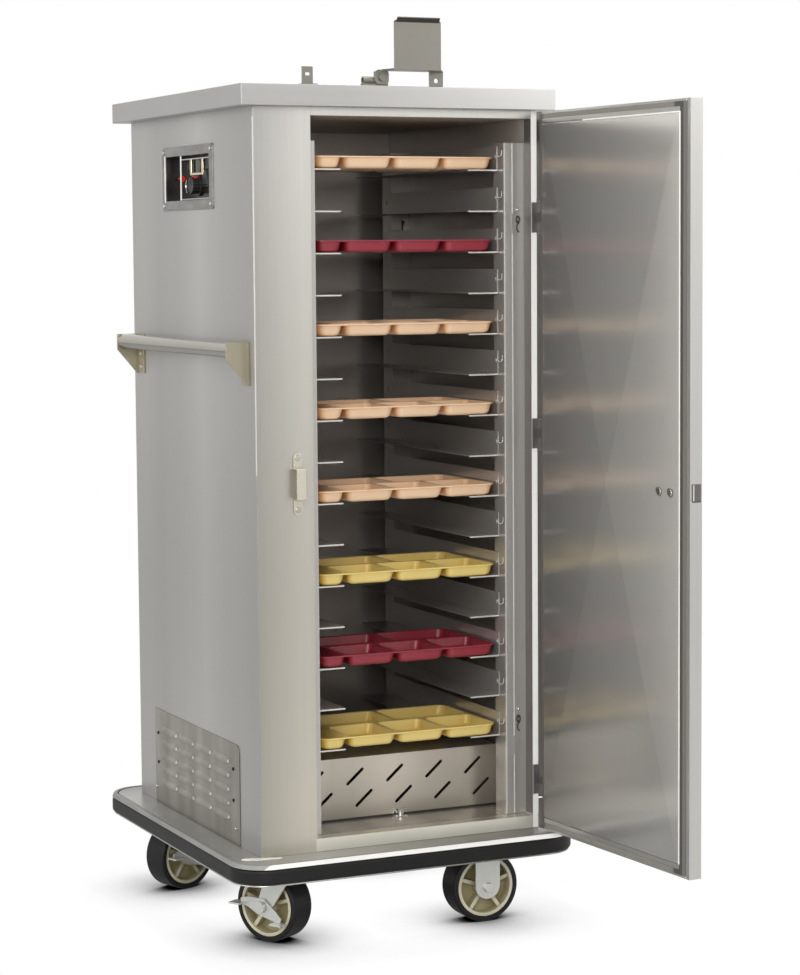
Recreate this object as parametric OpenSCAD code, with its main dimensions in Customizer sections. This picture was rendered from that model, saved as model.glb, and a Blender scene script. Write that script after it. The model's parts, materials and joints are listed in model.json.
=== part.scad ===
// Enclosed meal tray cart: a heated upright cabinet on four casters with a
// perimeter bumper, one hinged door, angle slides and compartment trays.
// Millimetres. X to the right, Y to the back, Z up. The origin is on the floor
// under the middle of the cabinet. The door is drawn open, as it stands in use.

/* [Cabinet] */
// Outside width of the cabinet
cab_w = 530; // [524:1:600]
// Outside depth of the cabinet
cab_d = 612; // [606:1:680]
// Height of the body between the deck and the roof cap
body_h = 1264; // [1262:1:1320]
// Thickness of the outer sheet
skin_t = 1.2; // [0.8:0.1:1.6]
// Thickness of the left wall, which holds the controls
wall_l = 82; // [78:1:90]
// Thickness of the right wall
wall_r = 10.8; // [8:0.2:14]
// Thickness of the back wall
wall_b = 21; // [16:1:30]
// Thickness of the liner sheet
liner_t = 1; // [0.8:0.1:1.5]
// Width of the wide left stile of the front frame
stile_l = 104; // [98:1:112]
// Height of the sill under the opening
sill_h = 23; // [18:1:26]
// Height of the header over the opening
header_h = 14.5; // [10:0.5:20]
// Depth of the return flanges of the front frame
frame_depth = 24; // [12:1:25]
// Depth of the right stile
stile_r_depth = 6; // [5:0.5:12]
// Height of the roof cap
roof_h = 35.5; // [28:0.5:45]
// Overhang of the roof cap at the front
roof_front = 20; // [12:1:22]
// Overhang of the roof cap at the sides and the back
roof_side = 27.3; // [15:0.1:32]

/* [Deck and bumper] */
// Thickness of the deck sheet
deck_t = 4.5; // [3:0.5:8]
// Overhang of the deck at the sides and the back
deck_side = 46; // [40:1:55]
// Overhang of the deck at the front
deck_front = 50; // [40:1:60]
// Corner radius of the deck
deck_r = 52; // [40:1:60]
// How far the channel that holds the bumper stands out from the deck
channel_out = 8; // [6:0.5:10]
// Thickness of the channel's lower lip
channel_t = 3; // [2:0.5:4]
// Thickness of the turned-down rim
rim_t = 2; // [1.5:0.5:4]
// Height of the bumper
bumper_h = 27; // [24:1:30]
// How far the bumper stands out from the deck
bumper_t = 11.5; // [8:0.5:16]
// How far the top of the bumper lies below the top of the deck
bumper_drop = 7; // [4:0.5:9]

/* [Casters] */
// Wheel diameter
wheel_d = 127; // [110:1:130]
// Tread width
wheel_w = 50.8; // [44:0.1:52]
// Height of the casters from floor to mounting face
caster_h = 166; // [163:1:180]
// Distance of the casters from the middle, sideways
caster_x = 181; // [165:1:190]
// Distance of the casters from the middle, front to back
caster_y = 239; // [220:1:250]
// Offset of the axle behind the swivel axis
trail = 40; // [32:1:44]
// Diameter of the axle
axle_d = 12; // [10:0.5:14]
// Inside width of the fork
fork_in = 59; // [57:0.5:64]
// Thickness of the fork legs
fork_t = 4; // [3:0.5:5]
// Width of a rigid fork leg
fork_w = 48; // [40:1:54]
// Turn of the front left caster
swivel_front = -59.8; // [-180:0.1:180]
// Turn of the rear left caster
swivel_rear = 20; // [-180:1:180]

/* [Door] */
// Width of the door
door_w = 457; // [452:1:462]
// Gap between the door's upper edge and the roof cap
door_head = 3.8; // [3:0.1:12]
// Thickness of the door
door_t = 23.4; // [18:0.2:26]
// Gap between the closed door and the front frame
door_gap = 1.6; // [1.2:0.1:3]
// How far the hinge edge of the door reaches past the cabinet side
door_reach = 11; // [11:0.5:15]
// Height of the door's lower edge over the deck
door_foot = 6.2; // [4:0.2:12]
// How far the door stands open
door_open = 94.3; // [0:0.1:180]
// Height of the lowest hinge over the door's lower edge
hinge_low = 81; // [70:1:120]
// Height of the middle hinge over the door's lower edge
hinge_mid = 696; // [560:1:720]
// Depth of the highest hinge below the door's upper edge
hinge_drop = 181; // [90:1:260]
// Height of a hinge
hinge_h = 52; // [45:1:56]
// Depth of the hinge notches in the door's edge
notch_d = 15; // [14:0.5:16]
// Hinge pin diameter
hinge_pin_d = 5; // [4:0.5:6]
// Hinge knuckle diameter
knuckle_d = 11; // [10:0.5:12]
// Height of the latch over the door's lower edge
latch_rise = 627; // [560:1:700]

/* [Racks, slides and trays] */
// Space between the uprights and the ceiling of the cavity
rack_clear = 40.5; // [26:0.5:42]
// How far the uprights reach past the highest slide
rack_over = 3.7; // [2:0.1:12]
// Reach of an upright out from the wall
upright_w = 40; // [34:1:42]
// Depth of an upright, front to back
upright_d = 40; // [36:1:44]
// Height of the lowest keyhole over the foot of an upright
keyhole_rise = 132; // [60:1:200]
// Diameter of the keyholes' round ends
keyhole_d = 8; // [7:0.5:10]
// Width of the keyholes' slots
keyhole_slot = 3.5; // [3:0.5:5]
// Distance of the front uprights behind the cabinet front
upright_inset = 26; // [24:1:34]
// Distance between the front and the rear uprights
upright_span = 470; // [440:1:480]
// Number of slide levels
slide_n = 15; // [15:1:15]
// Height of the lowest slide over the cabinet floor
slide_first = 140.7; // [138:0.1:146]
// Width of the shelf of a slide
slide_w = 58; // [54:1:62]
// Height of the upright leg of a slide
slide_leg = 42; // [30:1:44]
// Thickness of a slide
slide_t = 1.2; // [1:0.1:2]
// Length of a slide
slide_len = 484; // [470:1:500]
// Tray width
tray_w = 342; // [330:1:352]
// Tray depth
tray_d = 222; // [205:1:250]
// Tray height
tray_h = 21; // [18:0.5:28]
// Distance of the trays behind the cabinet front
tray_inset = 42; // [36:1:60]

/* [Heating and controls] */
// Width of the bezel round the controls
bezel_w = 254; // [240:1:260]
// Height of the bezel round the controls
bezel_h = 113; // [105:1:120]
// Width of the bezel's border
bezel_border = 16; // [12:1:20]
// Depth of the middle of the controls below the roof cap
control_drop = 110; // [80:1:160]
// Depth of the control recess
recess_d = 28; // [24:1:40]
// Diameter of the thermostat knob
knob_d = 38; // [32:1:44]
// Height of the thermostat knob
knob_h = 18; // [14:1:22]
// Width of the louvre panel
louvre_w = 430; // [400:1:440]
// Height of the louvre panel
louvre_h = 176; // [160:1:190]
// Distance of the heater baffle behind the cabinet front
baffle_inset = 111; // [100:1:118]
// Height of the heater baffle
baffle_h = 111; // [100:1:124]
// Depth of the heater baffle
baffle_d = 374; // [340:1:376]
// Thickness of the baffle sheet
baffle_t = 1.5; // [1:0.1:2.5]
// Length of the baffle's slanted slots
slot_l = 42.3; // [36:0.1:44]
// Width of the baffle's slanted slots
slot_w = 5.5; // [4:0.5:8]
// Slant of the slots from level
slot_turn = 41; // [35:1:50]

/* [Push handle] */
// Diameter of the handle tube
tube_d = 26.7; // [22:0.1:30]
// Distance from the cabinet side to the middle of the tube
tube_out = 29.5; // [26:0.5:40]
// Distance between the handle brackets
handle_l = 562; // [500:1:564]
// Height of the handle over the deck
handle_rise = 859.5; // [800:0.5:900]

/* [Roof latch] */
// Width of the turn-over plate
flap_w = 87; // [70:1:90]
// Height of the turn-over plate
flap_h = 83; // [60:1:90]
// Thickness of the turn-over plate
flap_t = 3; // [2:0.5:3]
// Height of the pivot over the roof
flap_pivot_rise = 16; // [15.5:0.5:18]

/* [Hidden] */
$fn = 48;
eps = 0.01;
// Clearances: between bodies that move past each other, round pins, in screws
gap = 0.3;
pin_gap = 0.05;

// Cabinet faces
xl = -cab_w / 2;
xr = cab_w / 2;
yf = -cab_d / 2;
yb = cab_d / 2;
z0 = caster_h + deck_t;
z1 = z0 + body_h;
roof_z = z1 + roof_h;
roof_lip = 8;
// Cavity faces
in_l = xl + wall_l;
in_r = xr - wall_r;
in_b = yb - wall_b;
floor_z = z0 + sill_h;
ceil_z = z1 - header_h;
frame_back = yf + frame_depth;
rack_x = (in_l + in_r) / 2;
rack_h = ceil_z - rack_clear - floor_z;
slide_pitch = (rack_h - rack_over - slide_leg - slide_first) / (slide_n - 1);
// Deck outline
deck_w = cab_w + 2 * deck_side;
deck_l = cab_d + deck_front + deck_side;
deck_y = (deck_side - deck_front) / 2;
bumper_z = z0 - bumper_drop - bumper_h;
rim_bottom = bumper_z - channel_t;
// Door, drawn closed and then turned about the hinge axis
door_x1 = xr + door_reach;
door_x0 = door_x1 - door_w;
door_y1 = yf - door_gap;
door_y0 = door_y1 - door_t;
door_z0 = z0 + door_foot;
door_h = body_h - door_foot - door_head;
pivot_x = door_x1 - 1.8;
pivot_y = door_y0 + 2.1;
latch_z = door_z0 + latch_rise;
hinge_heights = [hinge_low, hinge_mid, door_h - hinge_drop];
pan_t = 3;
pan_inset_hinge = 20;
pan_inset_free = 31;
pan_inset_end = 22;
pan_flange = 9;
gasket_w = 8;
gasket_t = 1.1;
// Latch in the free edge
latch_case = [86, 17, 29];
latch_case_y = door_y0 + 2.2;
bolt_size = [46, 6, 22];
bolt_y = yf - 9.5;
lever_pin_d = 10;
lever_x = door_x0 + 71;
latch_screw_x = [door_x0 + 55, door_x0 + 87];
latch_screw_d = 6;
strike_w = 17.7;
strike_x = door_x0 - 1 - strike_w;
strike_out = 17.6;
strike_t = 2;
strike_mouth = 52;
strike_ear = 27;
// Racks and slides
floor_t = 1.2;
tray_levels = [14, 12, 10, 8, 6, 4, 2, 0];
tray_rim = 9;
tray_rib = 8;
cutlery_w = 41;
front_well_d = 100;
upright_y = [yf + upright_inset, yf + upright_inset + upright_span];
slide_set = 24;
slide_y = yf + upright_inset + slide_set;
slide_z0 = floor_z + slide_first;
slide_right = in_r - upright_w;
slide_left = in_l + upright_w;
tray_y = yf + tray_inset;
// Casters: side, end, swivel angle
axle_z = wheel_d / 2;
hub_w = fork_in - 2 * gap;
fork_out = fork_in / 2 + fork_t;
crown_z = wheel_d + 5;
crown_t = 5;
plate_t = 6;
race_d = 68;
brake_t = 3;
kingpin_d = 12;
rim_r = 54;
// Controls
control_z = z1 - control_drop;
control_y = 4;
recess_w = bezel_w - 2 * bezel_border;
recess_h = bezel_h - 2 * bezel_border;
recess_x = xl + recess_d;
knob_y = 20;
knob_z = control_z - 12.5;
rocker_y = -18;
rocker_z = control_z + 1;
lamp_z = control_z + 1;
lamp_y = [control_y + 96, control_y - 62];
spindle_d = 6;
pan_sheet = 1.2;
rocker_w = 25;
rocker_h = 28;
rocker_x = recess_x - 3;
rocker_pin_d = 3;
rocker_tilt = 6;
display_w = 64;
display_h = 30;
display_y = 35;
display_z = control_z + 22;
// Louvre panel
louvre_y = 3;
louvre_z = z0 + 0.5 + louvre_h / 2;
louvre_t = 1.5;
louvre_r = 14;
louvre_cols = 4;
louvre_rows = 5;
louvre_col_pitch = 88;
louvre_row_pitch = 24.7;
louvre_shift = 6;
louvre_len = 62;
// Heater baffle
baffle_w = 2 * (in_r - 16.6 - rack_x);
baffle_y = yf + baffle_inset;
// Handle
handle_z = z0 + handle_rise;
// Roof latch
lock_x = -175;
flap_x = 24.5;
flap_y = yf + 7;
flap_reach = 35;
flap_z = roof_z + flap_pivot_rise;
leg_w = 26;
leg_span = 101.6;
stud_d = 8;

// Flat outline with rounded corners, centred
module rounded(w, h, r) {
    square([w - 2 * r, h], center = true);
    square([w, h - 2 * r], center = true);
    for (x = [-1, 1], y = [-1, 1])
        translate([x * (w / 2 - r), y * (h / 2 - r)]) circle(r);
}

// Cylinder along Y from y = a to y = b
module rod_y(d, a, b) {
    translate([0, b, 0]) rotate([90, 0, 0]) cylinder(d = d, h = b - a);
}

// Cylinder along X from x = a to x = b
module rod_x(d, a, b) {
    translate([a, 0, 0]) rotate([0, 90, 0]) cylinder(d = d, h = b - a);
}

// A profile swept round a rectangle with rounded corners; the profile's X is
// the distance out from the rectangle and its Y is the height
module swept_round(w, l, r) {
    for (side = [0, 1]) rotate([0, 0, 180 * side]) {
        translate([w / 2, l / 2 - r, 0])
            rotate([90, 0, 0]) linear_extrude(l - 2 * r) children();
        translate([w / 2 - r, l / 2, 0]) rotate([90, 0, 90])
            mirror([0, 0, 1]) linear_extrude(w - 2 * r) children();
        translate([w / 2 - r, l / 2 - r, 0])
            rotate_extrude(angle = 90) translate([r, 0]) children();
        translate([-w / 2 + r, l / 2 - r, 0]) rotate([0, 0, 90])
            rotate_extrude(angle = 90) translate([r, 0]) children();
    }
}

// ---- Deck and bumper -------------------------------------------------

module base_deck() color("silver") {
    translate([0, deck_y, caster_h])
        linear_extrude(deck_t) rounded(deck_w, deck_l, deck_r);
    translate([0, deck_y, rim_bottom]) linear_extrude(caster_h - rim_bottom) difference() {
        rounded(deck_w, deck_l, deck_r);
        rounded(deck_w - 2 * rim_t, deck_l - 2 * rim_t, deck_r - rim_t);
    }
    translate([0, deck_y, rim_bottom]) linear_extrude(channel_t) difference() {
        rounded(deck_w + 2 * channel_out, deck_l + 2 * channel_out, deck_r + channel_out);
        rounded(deck_w - 2 * rim_t, deck_l - 2 * rim_t, deck_r - rim_t);
    }
}

// Bulged section of the bumper
module bumper_section() {
    bulge = bumper_t / 2;
    square([bulge, bumper_h]);
    translate([0, bulge]) square([bumper_t, bumper_h - 2 * bulge]);
    for (y = [bulge, bumper_h - bulge]) translate([bulge, y]) circle(bulge);
}

module bumper() color("#262626")
    translate([0, deck_y, bumper_z]) swept_round(deck_w, deck_l, deck_r)
        bumper_section();

// ---- Cabinet shell ---------------------------------------------------

module side_left() color("darkgray") difference() {
    translate([xl, yf, z0]) cube([skin_t, cab_d, body_h]);
    translate([xl - 1, control_y - recess_w / 2, control_z - recess_h / 2])
        cube([skin_t + 2, recess_w, recess_h]);
}

module side_right() color("darkgray")
    translate([xr - skin_t, yf, z0]) cube([skin_t, cab_d, body_h]);

module back_panel() color("darkgray")
    translate([xl + skin_t, yb - skin_t, z0]) cube([cab_w - 2 * skin_t, skin_t, body_h]);

// Left stile, folded back along the opening; right stile, header and sill
module front_frame() color("#b9b7ae") {
    x0 = xl + skin_t;
    stile_x = xl + stile_l;
    translate([0, 0, z0]) linear_extrude(body_h) polygon([[x0, yf], [stile_x, yf],
        [stile_x, frame_back], [in_l - liner_t, frame_back],
        [in_l - liner_t, frame_back - skin_t], [stile_x - skin_t, frame_back - skin_t],
        [stile_x - skin_t, yf + skin_t], [x0, yf + skin_t]]);
    translate([in_r, yf, z0]) cube([wall_r - skin_t, stile_r_depth, body_h]);
    translate([stile_x + gap, yf, ceil_z])
        cube([in_r - stile_x - 2 * gap, frame_depth, header_h]);
    translate([stile_x + gap, yf, z0])
        cube([in_r - stile_x - 2 * gap, frame_depth, sill_h]);
}

// Folded cap: top sheet, fascia on all four sides and a lip that lies on the walls
module roof_cap() color("silver") {
    w = cab_w + 2 * roof_side;
    l = cab_d + roof_front + roof_side;
    translate([-w / 2, yf - roof_front, z1]) difference() {
        cube([w, l, roof_h]);
        translate([skin_t, skin_t, skin_t])
            cube([w - 2 * skin_t, l - 2 * skin_t, roof_h - 2 * skin_t]);
        translate([roof_side + roof_lip, roof_front + roof_lip, -1])
            cube([cab_w - 2 * roof_lip, cab_d - 2 * roof_lip, skin_t + 2]);
    }
}

// Liner walls, ceiling and back: five bent sheets that meet at the corners
module liner() color("#5b5752") {
    h = ceil_z - z0;
    translate([in_l - liner_t, frame_back, z0]) cube([liner_t, in_b - frame_back, h]);
    translate([in_r, yf + stile_r_depth, z0])
        cube([liner_t, in_b - yf - stile_r_depth, h]);
    translate([in_l - liner_t, in_b + gap, z0])
        cube([in_r - in_l + 2 * liner_t, liner_t, h]);
    translate([in_l - liner_t, frame_back, ceil_z + gap])
        cube([in_r - in_l + 2 * liner_t, in_b - frame_back + liner_t, liner_t]);
}

// Floor pan with flanges that stand on the deck
module liner_floor() color("#6b6760")
    translate([in_l, frame_back, z0]) difference() {
        cube([in_r - in_l, in_b - frame_back, sill_h]);
        translate([floor_t, floor_t, -1])
            cube([in_r - in_l - 2 * floor_t, in_b - frame_back - 2 * floor_t,
                sill_h - floor_t + 1]);
    }

// ---- Racks and slides ------------------------------------------------

// Channel upright, open to the wall, with a keyhole near each of its ends
module upright(wall_x, out) {
    translate([wall_x, 0, floor_z]) difference() {
        linear_extrude(rack_h) difference() {
            translate([out > 0 ? 0 : -upright_w, 0]) square([upright_w, upright_d]);
            translate([out > 0 ? -1 : 2 - upright_w, 2]) square([upright_w - 1, upright_d - 4]);
        }
        for (z = [keyhole_rise, rack_h - keyhole_rise])
            translate([out * upright_w * 0.4, 0, z]) {
                translate([-keyhole_slot / 2, -3, -16]) cube([keyhole_slot, 8, 16]);
                rod_y(keyhole_d, -3, 5);
            }
    }
}

module rack_left() color("#6f6b64")
    for (y = upright_y) translate([0, y, 0]) upright(in_l, 1);

module rack_right() color("#6f6b64")
    for (y = upright_y) translate([0, y, 0]) upright(in_r, -1);

// One angle slide; its leg lies on the upright and its shelf points inward
module slide(face_x, side) {
    translate([face_x, slide_y, 0]) {
        translate([side > 0 ? 0 : -slide_w, 0, -slide_t]) cube([slide_w, slide_len, slide_t]);
        translate([side > 0 ? 0 : -slide_t, 0, -slide_t]) cube([slide_t, slide_len, slide_leg]);
        for (y = [(upright_d - slide_set) / 2, upright_span + upright_d / 2 - slide_set])
            translate([side * slide_t, y, slide_leg * 0.55])
                rotate([0, side * 90, 0]) cylinder(d = 8, h = 1.5);
    }
}

module slides(face_x, side)
    for (i = [0 : slide_n - 1])
        translate([0, 0, slide_z0 + i * slide_pitch]) slide(face_x, side);

module slides_left() color("#7d786f") slides(slide_left, 1);
module slides_right() color("#7d786f") slides(slide_right, -1);

// ---- Heating ---------------------------------------------------------

// A slanted slot with round ends, cut along Y
module slanted_slot() {
    straight = slot_l - slot_w;
    rotate([0, -slot_turn, 0]) {
        cube([straight, 12, slot_w], center = true);
        for (x = [-1, 1]) translate([x * straight / 2, 0, 0]) rod_y(slot_w, -6, 6);
    }
}

// Sheet cover over the heater, with two staggered rows of slanted slots
module baffle_box() color("#8a8479") {
    x0 = rack_x - baffle_w / 2;
    difference() {
        translate([x0, baffle_y, floor_z]) cube([baffle_w, baffle_d, baffle_h]);
        translate([x0 + baffle_t, baffle_y + baffle_t, floor_z - 1])
            cube([baffle_w - 2 * baffle_t, baffle_d - 2 * baffle_t, baffle_h - baffle_t + 1]);
        for (row = [0, 1], i = [-2 : 2])
            translate([rack_x + i * 77 + (row == 0 ? 2 : 19) - 2, baffle_y,
                floor_z + baffle_h * (row == 0 ? 0.69 : 0.33)]) slanted_slot();
    }
}

// Knurled thumb screw with its clip, at the foot of the baffle
module thumb_screw()
    translate([rack_x + 6, baffle_y, floor_z]) {
        translate([-11, -18, 0]) cube([22, 18, 1.5]);
        translate([-11, -1.5, 0]) cube([22, 1.5, 14]);
        translate([0, -9, 1.5]) {
            cylinder(d = 13, h = 5);
            cylinder(d = 5, h = 9);
        }
    }

// Tubular element bent into a flat loop
module heater_element() color("#4a4643") {
    rod = 8;
    leg = baffle_d * 0.55;
    r = 60;
    y0 = baffle_y + baffle_d * 0.3;
    translate([rack_x, y0, floor_z + rod / 2]) {
        for (x = [-r, r]) translate([x, 0, 0]) rod_y(rod, 0, leg);
        rotate([0, 0, 180]) rotate_extrude(angle = 180) translate([r, 0]) circle(d = rod);
    }
}

// Solid of a pressed louvre, open downward: a long round-ended hood
module louvre_form(r, behind) {
    intersection() {
        translate([behind, 0, 0]) {
            rod_y(2 * r, -louvre_len / 2, louvre_len / 2);
            for (y = [-louvre_len / 2, louvre_len / 2]) translate([0, y, 0]) sphere(r);
        }
        translate([-r, -louvre_len, 0]) cube([r, 2 * louvre_len, r]);
    }
}

// Vent plate low on the left side with pressed louvres and one rounded corner
module louver_panel() color("#8d8b84")
    translate([xl - louvre_t, louvre_y, louvre_z]) {
        difference() {
            rotate([90, 0, 90]) linear_extrude(louvre_t) {
                translate([-louvre_w / 2 + louvre_r, -louvre_h / 2])
                    square([louvre_w - louvre_r, louvre_h]);
                translate([-louvre_w / 2, -louvre_h / 2])
                    square([louvre_w, louvre_h - louvre_r]);
                translate([-louvre_w / 2 + louvre_r, louvre_h / 2 - louvre_r])
                    circle(louvre_r);
            }
            at_louvres() translate([-1, -louvre_len / 2, 0])
                cube([louvre_t + 2, louvre_len, 6]);
        }
        at_louvres() difference() {
            louvre_form(13, 8);
            translate([0, 0, -eps]) louvre_form(12, 8);
        }
    }

module at_louvres()
    for (c = [0 : louvre_cols - 1], r = [0 : louvre_rows - 1])
        translate([0, (c - (louvre_cols - 1) / 2) * louvre_col_pitch + louvre_shift,
            (r - (louvre_rows - 1) / 2) * louvre_row_pitch]) children();

// ---- Controls --------------------------------------------------------

// Deep-drawn pan behind the bezel, with the holes of what it carries
module control_box() color("#55534f") difference() {
    union() {
        difference() {
            translate([xl, control_y - recess_w / 2, control_z - recess_h / 2])
                cube([recess_d + pan_sheet, recess_w, recess_h]);
            translate([xl - 1, control_y - recess_w / 2 + pan_sheet,
                control_z - recess_h / 2 + pan_sheet])
                cube([recess_d + 1, recess_w - 2 * pan_sheet, recess_h - 2 * pan_sheet]);
        }
        translate([recess_x - 5, rocker_y, rocker_z]) rotate([0, 90, 0])
            linear_extrude(5) difference() {
                rounded(rocker_h + 6, rocker_w + 6, 2);
                square([rocker_h + 2 * gap, rocker_w + 2 * gap], center = true);
            }
    }
    translate([0, knob_y, knob_z])
        rod_x(spindle_d + 2 * pin_gap, recess_x - 1, recess_x + pan_sheet + 1);
    translate([rocker_x, rocker_y, rocker_z])
        rod_y(rocker_pin_d + 2 * pin_gap, -rocker_w / 2 - 2, rocker_w / 2 + 2);
}

module control_bezel() color("#a9a59a")
    translate([xl - 2.5, control_y, control_z]) rotate([90, 0, 90])
        linear_extrude(2.5) difference() {
            rounded(bezel_w, bezel_h, 6);
            square([recess_w - 2 * pan_sheet, recess_h - 2 * pan_sheet], center = true);
        }

// Two lamps and a fuse cap on the control face
module pilot_lamps() color("crimson")
    for (y = lamp_y) translate([0, y, lamp_z]) {
        rod_x(11, recess_x - 2, recess_x);
        rod_x(7, recess_x - 6, recess_x - 1);
        translate([recess_x - 6, 0, 0]) sphere(d = 7);
    }

// Framed window of the temperature display
module display_window() color("#d8d4c6")
    translate([recess_x - 6, display_y, display_z]) rotate([90, 0, 90]) {
        linear_extrude(6) difference() {
            rounded(display_w, display_h, 9);
            rounded(display_w - 8, display_h - 8, 6);
        }
        translate([0, 0, 3]) linear_extrude(3) rounded(display_w - 7, display_h - 7, 6);
    }

// Fluted knob with a pointer ridge, on its spindle
module thermostat_knob() color("#1d1d1d")
    translate([0, knob_y, knob_z]) {
        rod_x(knob_d, recess_x - 4.5, recess_x - 0.5);
        translate([recess_x - knob_h, 0, 0]) rotate([90, 0, 90])
            linear_extrude(knob_h - 4) difference() {
                circle(d = knob_d - 8);
                for (a = [0 : 30 : 330]) rotate(a) translate([knob_d / 2 - 3, 0]) circle(2);
            }
        translate([recess_x - knob_h - 1.5, -1.5, 0]) cube([3, 3, knob_d / 2 - 5]);
        rod_x(spindle_d, recess_x - 2, recess_x + 10);
    }

// Rocker cap on two stub pins, drawn with its upper half pressed in
module power_rocker() color("#141414")
    translate([rocker_x, rocker_y, rocker_z]) {
        rotate([0, -rocker_tilt, 0]) translate([-3, 0, 0]) rotate([0, 90, 0])
            linear_extrude(4) square([rocker_h - 2, rocker_w], center = true);
        rod_y(rocker_pin_d, -rocker_w / 2 - 1.5, rocker_w / 2 + 1.5);
    }

// ---- Handle ----------------------------------------------------------

// Bracket with its gusset facing end = -1 (front) or 1 (back)
module handle_bracket(end) {
    t = 3;
    drop = 60;
    reach = tube_out + tube_d / 2;
    top = tube_d / 2;
    translate([xl, end * handle_l / 2, handle_z]) {
        rotate([90, 0, 0]) linear_extrude(t, center = true) polygon([[0, top],
            [-reach, top], [-reach, -top - 2], [-5, -drop], [0, -drop]]);
        translate([-t, end > 0 ? -34 : 0, -drop]) cube([t, 34, drop + top]);
    }
}

module handle_brackets() color("#b3aa8c") {
    handle_bracket(-1);
    handle_bracket(1);
}

module handle_tube() color("#c3c1b6")
    translate([xl - tube_out, 0, handle_z])
        rod_y(tube_d, -handle_l / 2 + 1.5, handle_l / 2 - 1.5);

// ---- Fasteners on the cabinet ------------------------------------------

// Screw head on the left side, standing out from x = face
module side_screw(face, y, z, d = 7)
    translate([0, y, z]) {
        rod_x(d, face - 1.6, face);
        rod_x(d * 0.6, face - 2.4, face - 1.5);
    }

module body_screws() color("#77736a") {
    for (y = [louvre_y - louvre_w / 2 + 29, louvre_y + louvre_w / 2 - 17],
        z = [louvre_z - 12, louvre_z + 43]) side_screw(xl - louvre_t, y, z, 6);
    for (y = [louvre_y - louvre_w / 2 + 18, louvre_y + louvre_w / 2 - 6])
        side_screw(xl - louvre_t, y, louvre_z - 60, 6);
    for (y = [-1, 1], z = [-1, 1])
        side_screw(xl - 2.5, control_y + y * (bezel_w / 2 - 9),
            control_z + z * (bezel_h / 2 - 9), 8);
    for (end = [-1, 1], z = [-48, -24])
        side_screw(xl - 3, end * (handle_l / 2 - 20), handle_z + z, 9);
    for (z = [-1, 1]) translate([strike_x + strike_w / 2, yf - strike_t,
        latch_z + z * (strike_mouth / 2 + strike_ear - 9)]) {
        rod_y(9, -1.8, 0);
        rod_y(5, -2.6, -1.5);
    }
    for (h = hinge_heights, z = [-15, 15]) translate([0, yf + 24, door_z0 + h + z]) {
        rod_x(8, xr + 3, xr + 4.6);
    }
    thumb_screw();
}

// ---- Strike, hinges and door -------------------------------------------

// Hat-shaped keeper, open toward the door edge, on two round-ended ears
module strike() color("#b5b1a6")
    translate([strike_x, yf, latch_z]) {
        h = strike_mouth / 2;
        translate([0, -strike_out, -h]) cube([strike_w, strike_t, 2 * h]);
        for (s = [-1, 1]) {
            translate([0, -strike_out, s > 0 ? h - strike_t : -h])
                cube([strike_w, strike_out, strike_t]);
            translate([strike_w / 2, 0, s * (h + strike_ear / 2 - strike_w / 4)])
                rotate([90, 0, 0]) linear_extrude(strike_t) {
                    square([strike_w, strike_ear - strike_w / 2], center = true);
                    translate([0, s * (strike_ear / 2 - strike_w / 4)])
                        circle(d = strike_w);
                }
        }
    }

// Puts its children at each hinge, at the hinge axis
module at_hinges()
    for (h = hinge_heights) translate([pivot_x, pivot_y, door_z0 + h]) children();

// Round knuckle from z = a to z = b, with what joins it
module knuckle(a, b) translate([0, 0, a]) linear_extrude(b - a) difference() {
    union() {
        circle(d = knuckle_d);
        children();
    }
    circle(d = hinge_pin_d + 2 * pin_gap);
}

// Body leaves: a foot on the cabinet side and an arm to the middle knuckle
module hinge_leaves() color("#a8a49a") at_hinges() {
    sx = xr - pivot_x;
    sy = yf - pivot_y;
    translate([sx, sy, -hinge_h / 2]) cube([3, 36, hinge_h]);
    knuckle(-hinge_h / 6 + gap, hinge_h / 6 - gap)
        polygon([[sx, sy + 3], [sx + 3, sy + 3], [sx + 3, sy], [4, 3], [-2, 4.5], [sx, sy]]);
}

module hinge_pins() color("#8f8c84") at_hinges() {
    translate([0, 0, -hinge_h / 2 - 1]) cylinder(d = hinge_pin_d, h = hinge_h + 2);
    for (z = [-hinge_h / 2 - 2.5, hinge_h / 2 + gap]) translate([0, 0, z])
        cylinder(d = knuckle_d - 3, h = 2.2);
}

// Turns its children, drawn as if shut, to the door's standing position
module on_door()
    translate([pivot_x, pivot_y, 0]) rotate([0, 0, door_open])
        translate([-pivot_x, -pivot_y, 0]) children();

// Door leaves: a foot in the notch and two outer knuckles
module door_hinge_leaves() color("#9d998f") on_door() at_hinges() {
    foot_x = door_x1 - notch_d - pivot_x;
    translate([foot_x, door_y0 - pivot_y, -hinge_h / 2]) cube([3, 18, hinge_h]);
    for (s = [-1, 1]) translate([0, 0, s * hinge_h / 3])
        knuckle(-hinge_h / 6, hinge_h / 6)
            translate([foot_x, door_y0 - pivot_y]) square([-foot_x, 3]);
}

// Where the bolts of the latch pass through the door
module latch_screw_holes(d)
    for (x = latch_screw_x) translate([x, 0, latch_z])
        rod_y(d, door_y0 - 10, door_y1 + 10);

// Space of the latch case in the free edge
module latch_pocket(extra = 0)
    translate([door_x0 - extra, latch_case_y, latch_z - latch_case[2] / 2])
        cube([latch_case[0] + extra, latch_case[1], latch_case[2]]);

// Notch in the hinge edge, grown by a margin
module door_notch(grow, margin)
    translate([door_x1 - notch_d - grow, door_y0 - margin, -hinge_h / 2 - 3 - grow])
        cube([notch_d + grow + margin, door_t + 2 * margin, hinge_h + 6 + 2 * grow]);

// Outline of the raised inner panel, grown by a margin
module door_panel(grow, y, t)
    translate([door_x0 + pan_inset_free - grow, y, door_z0 + pan_inset_end - grow])
        cube([door_w - pan_inset_free - pan_inset_hinge + 2 * grow, t,
            door_h - 2 * pan_inset_end + 2 * grow]);

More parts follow.
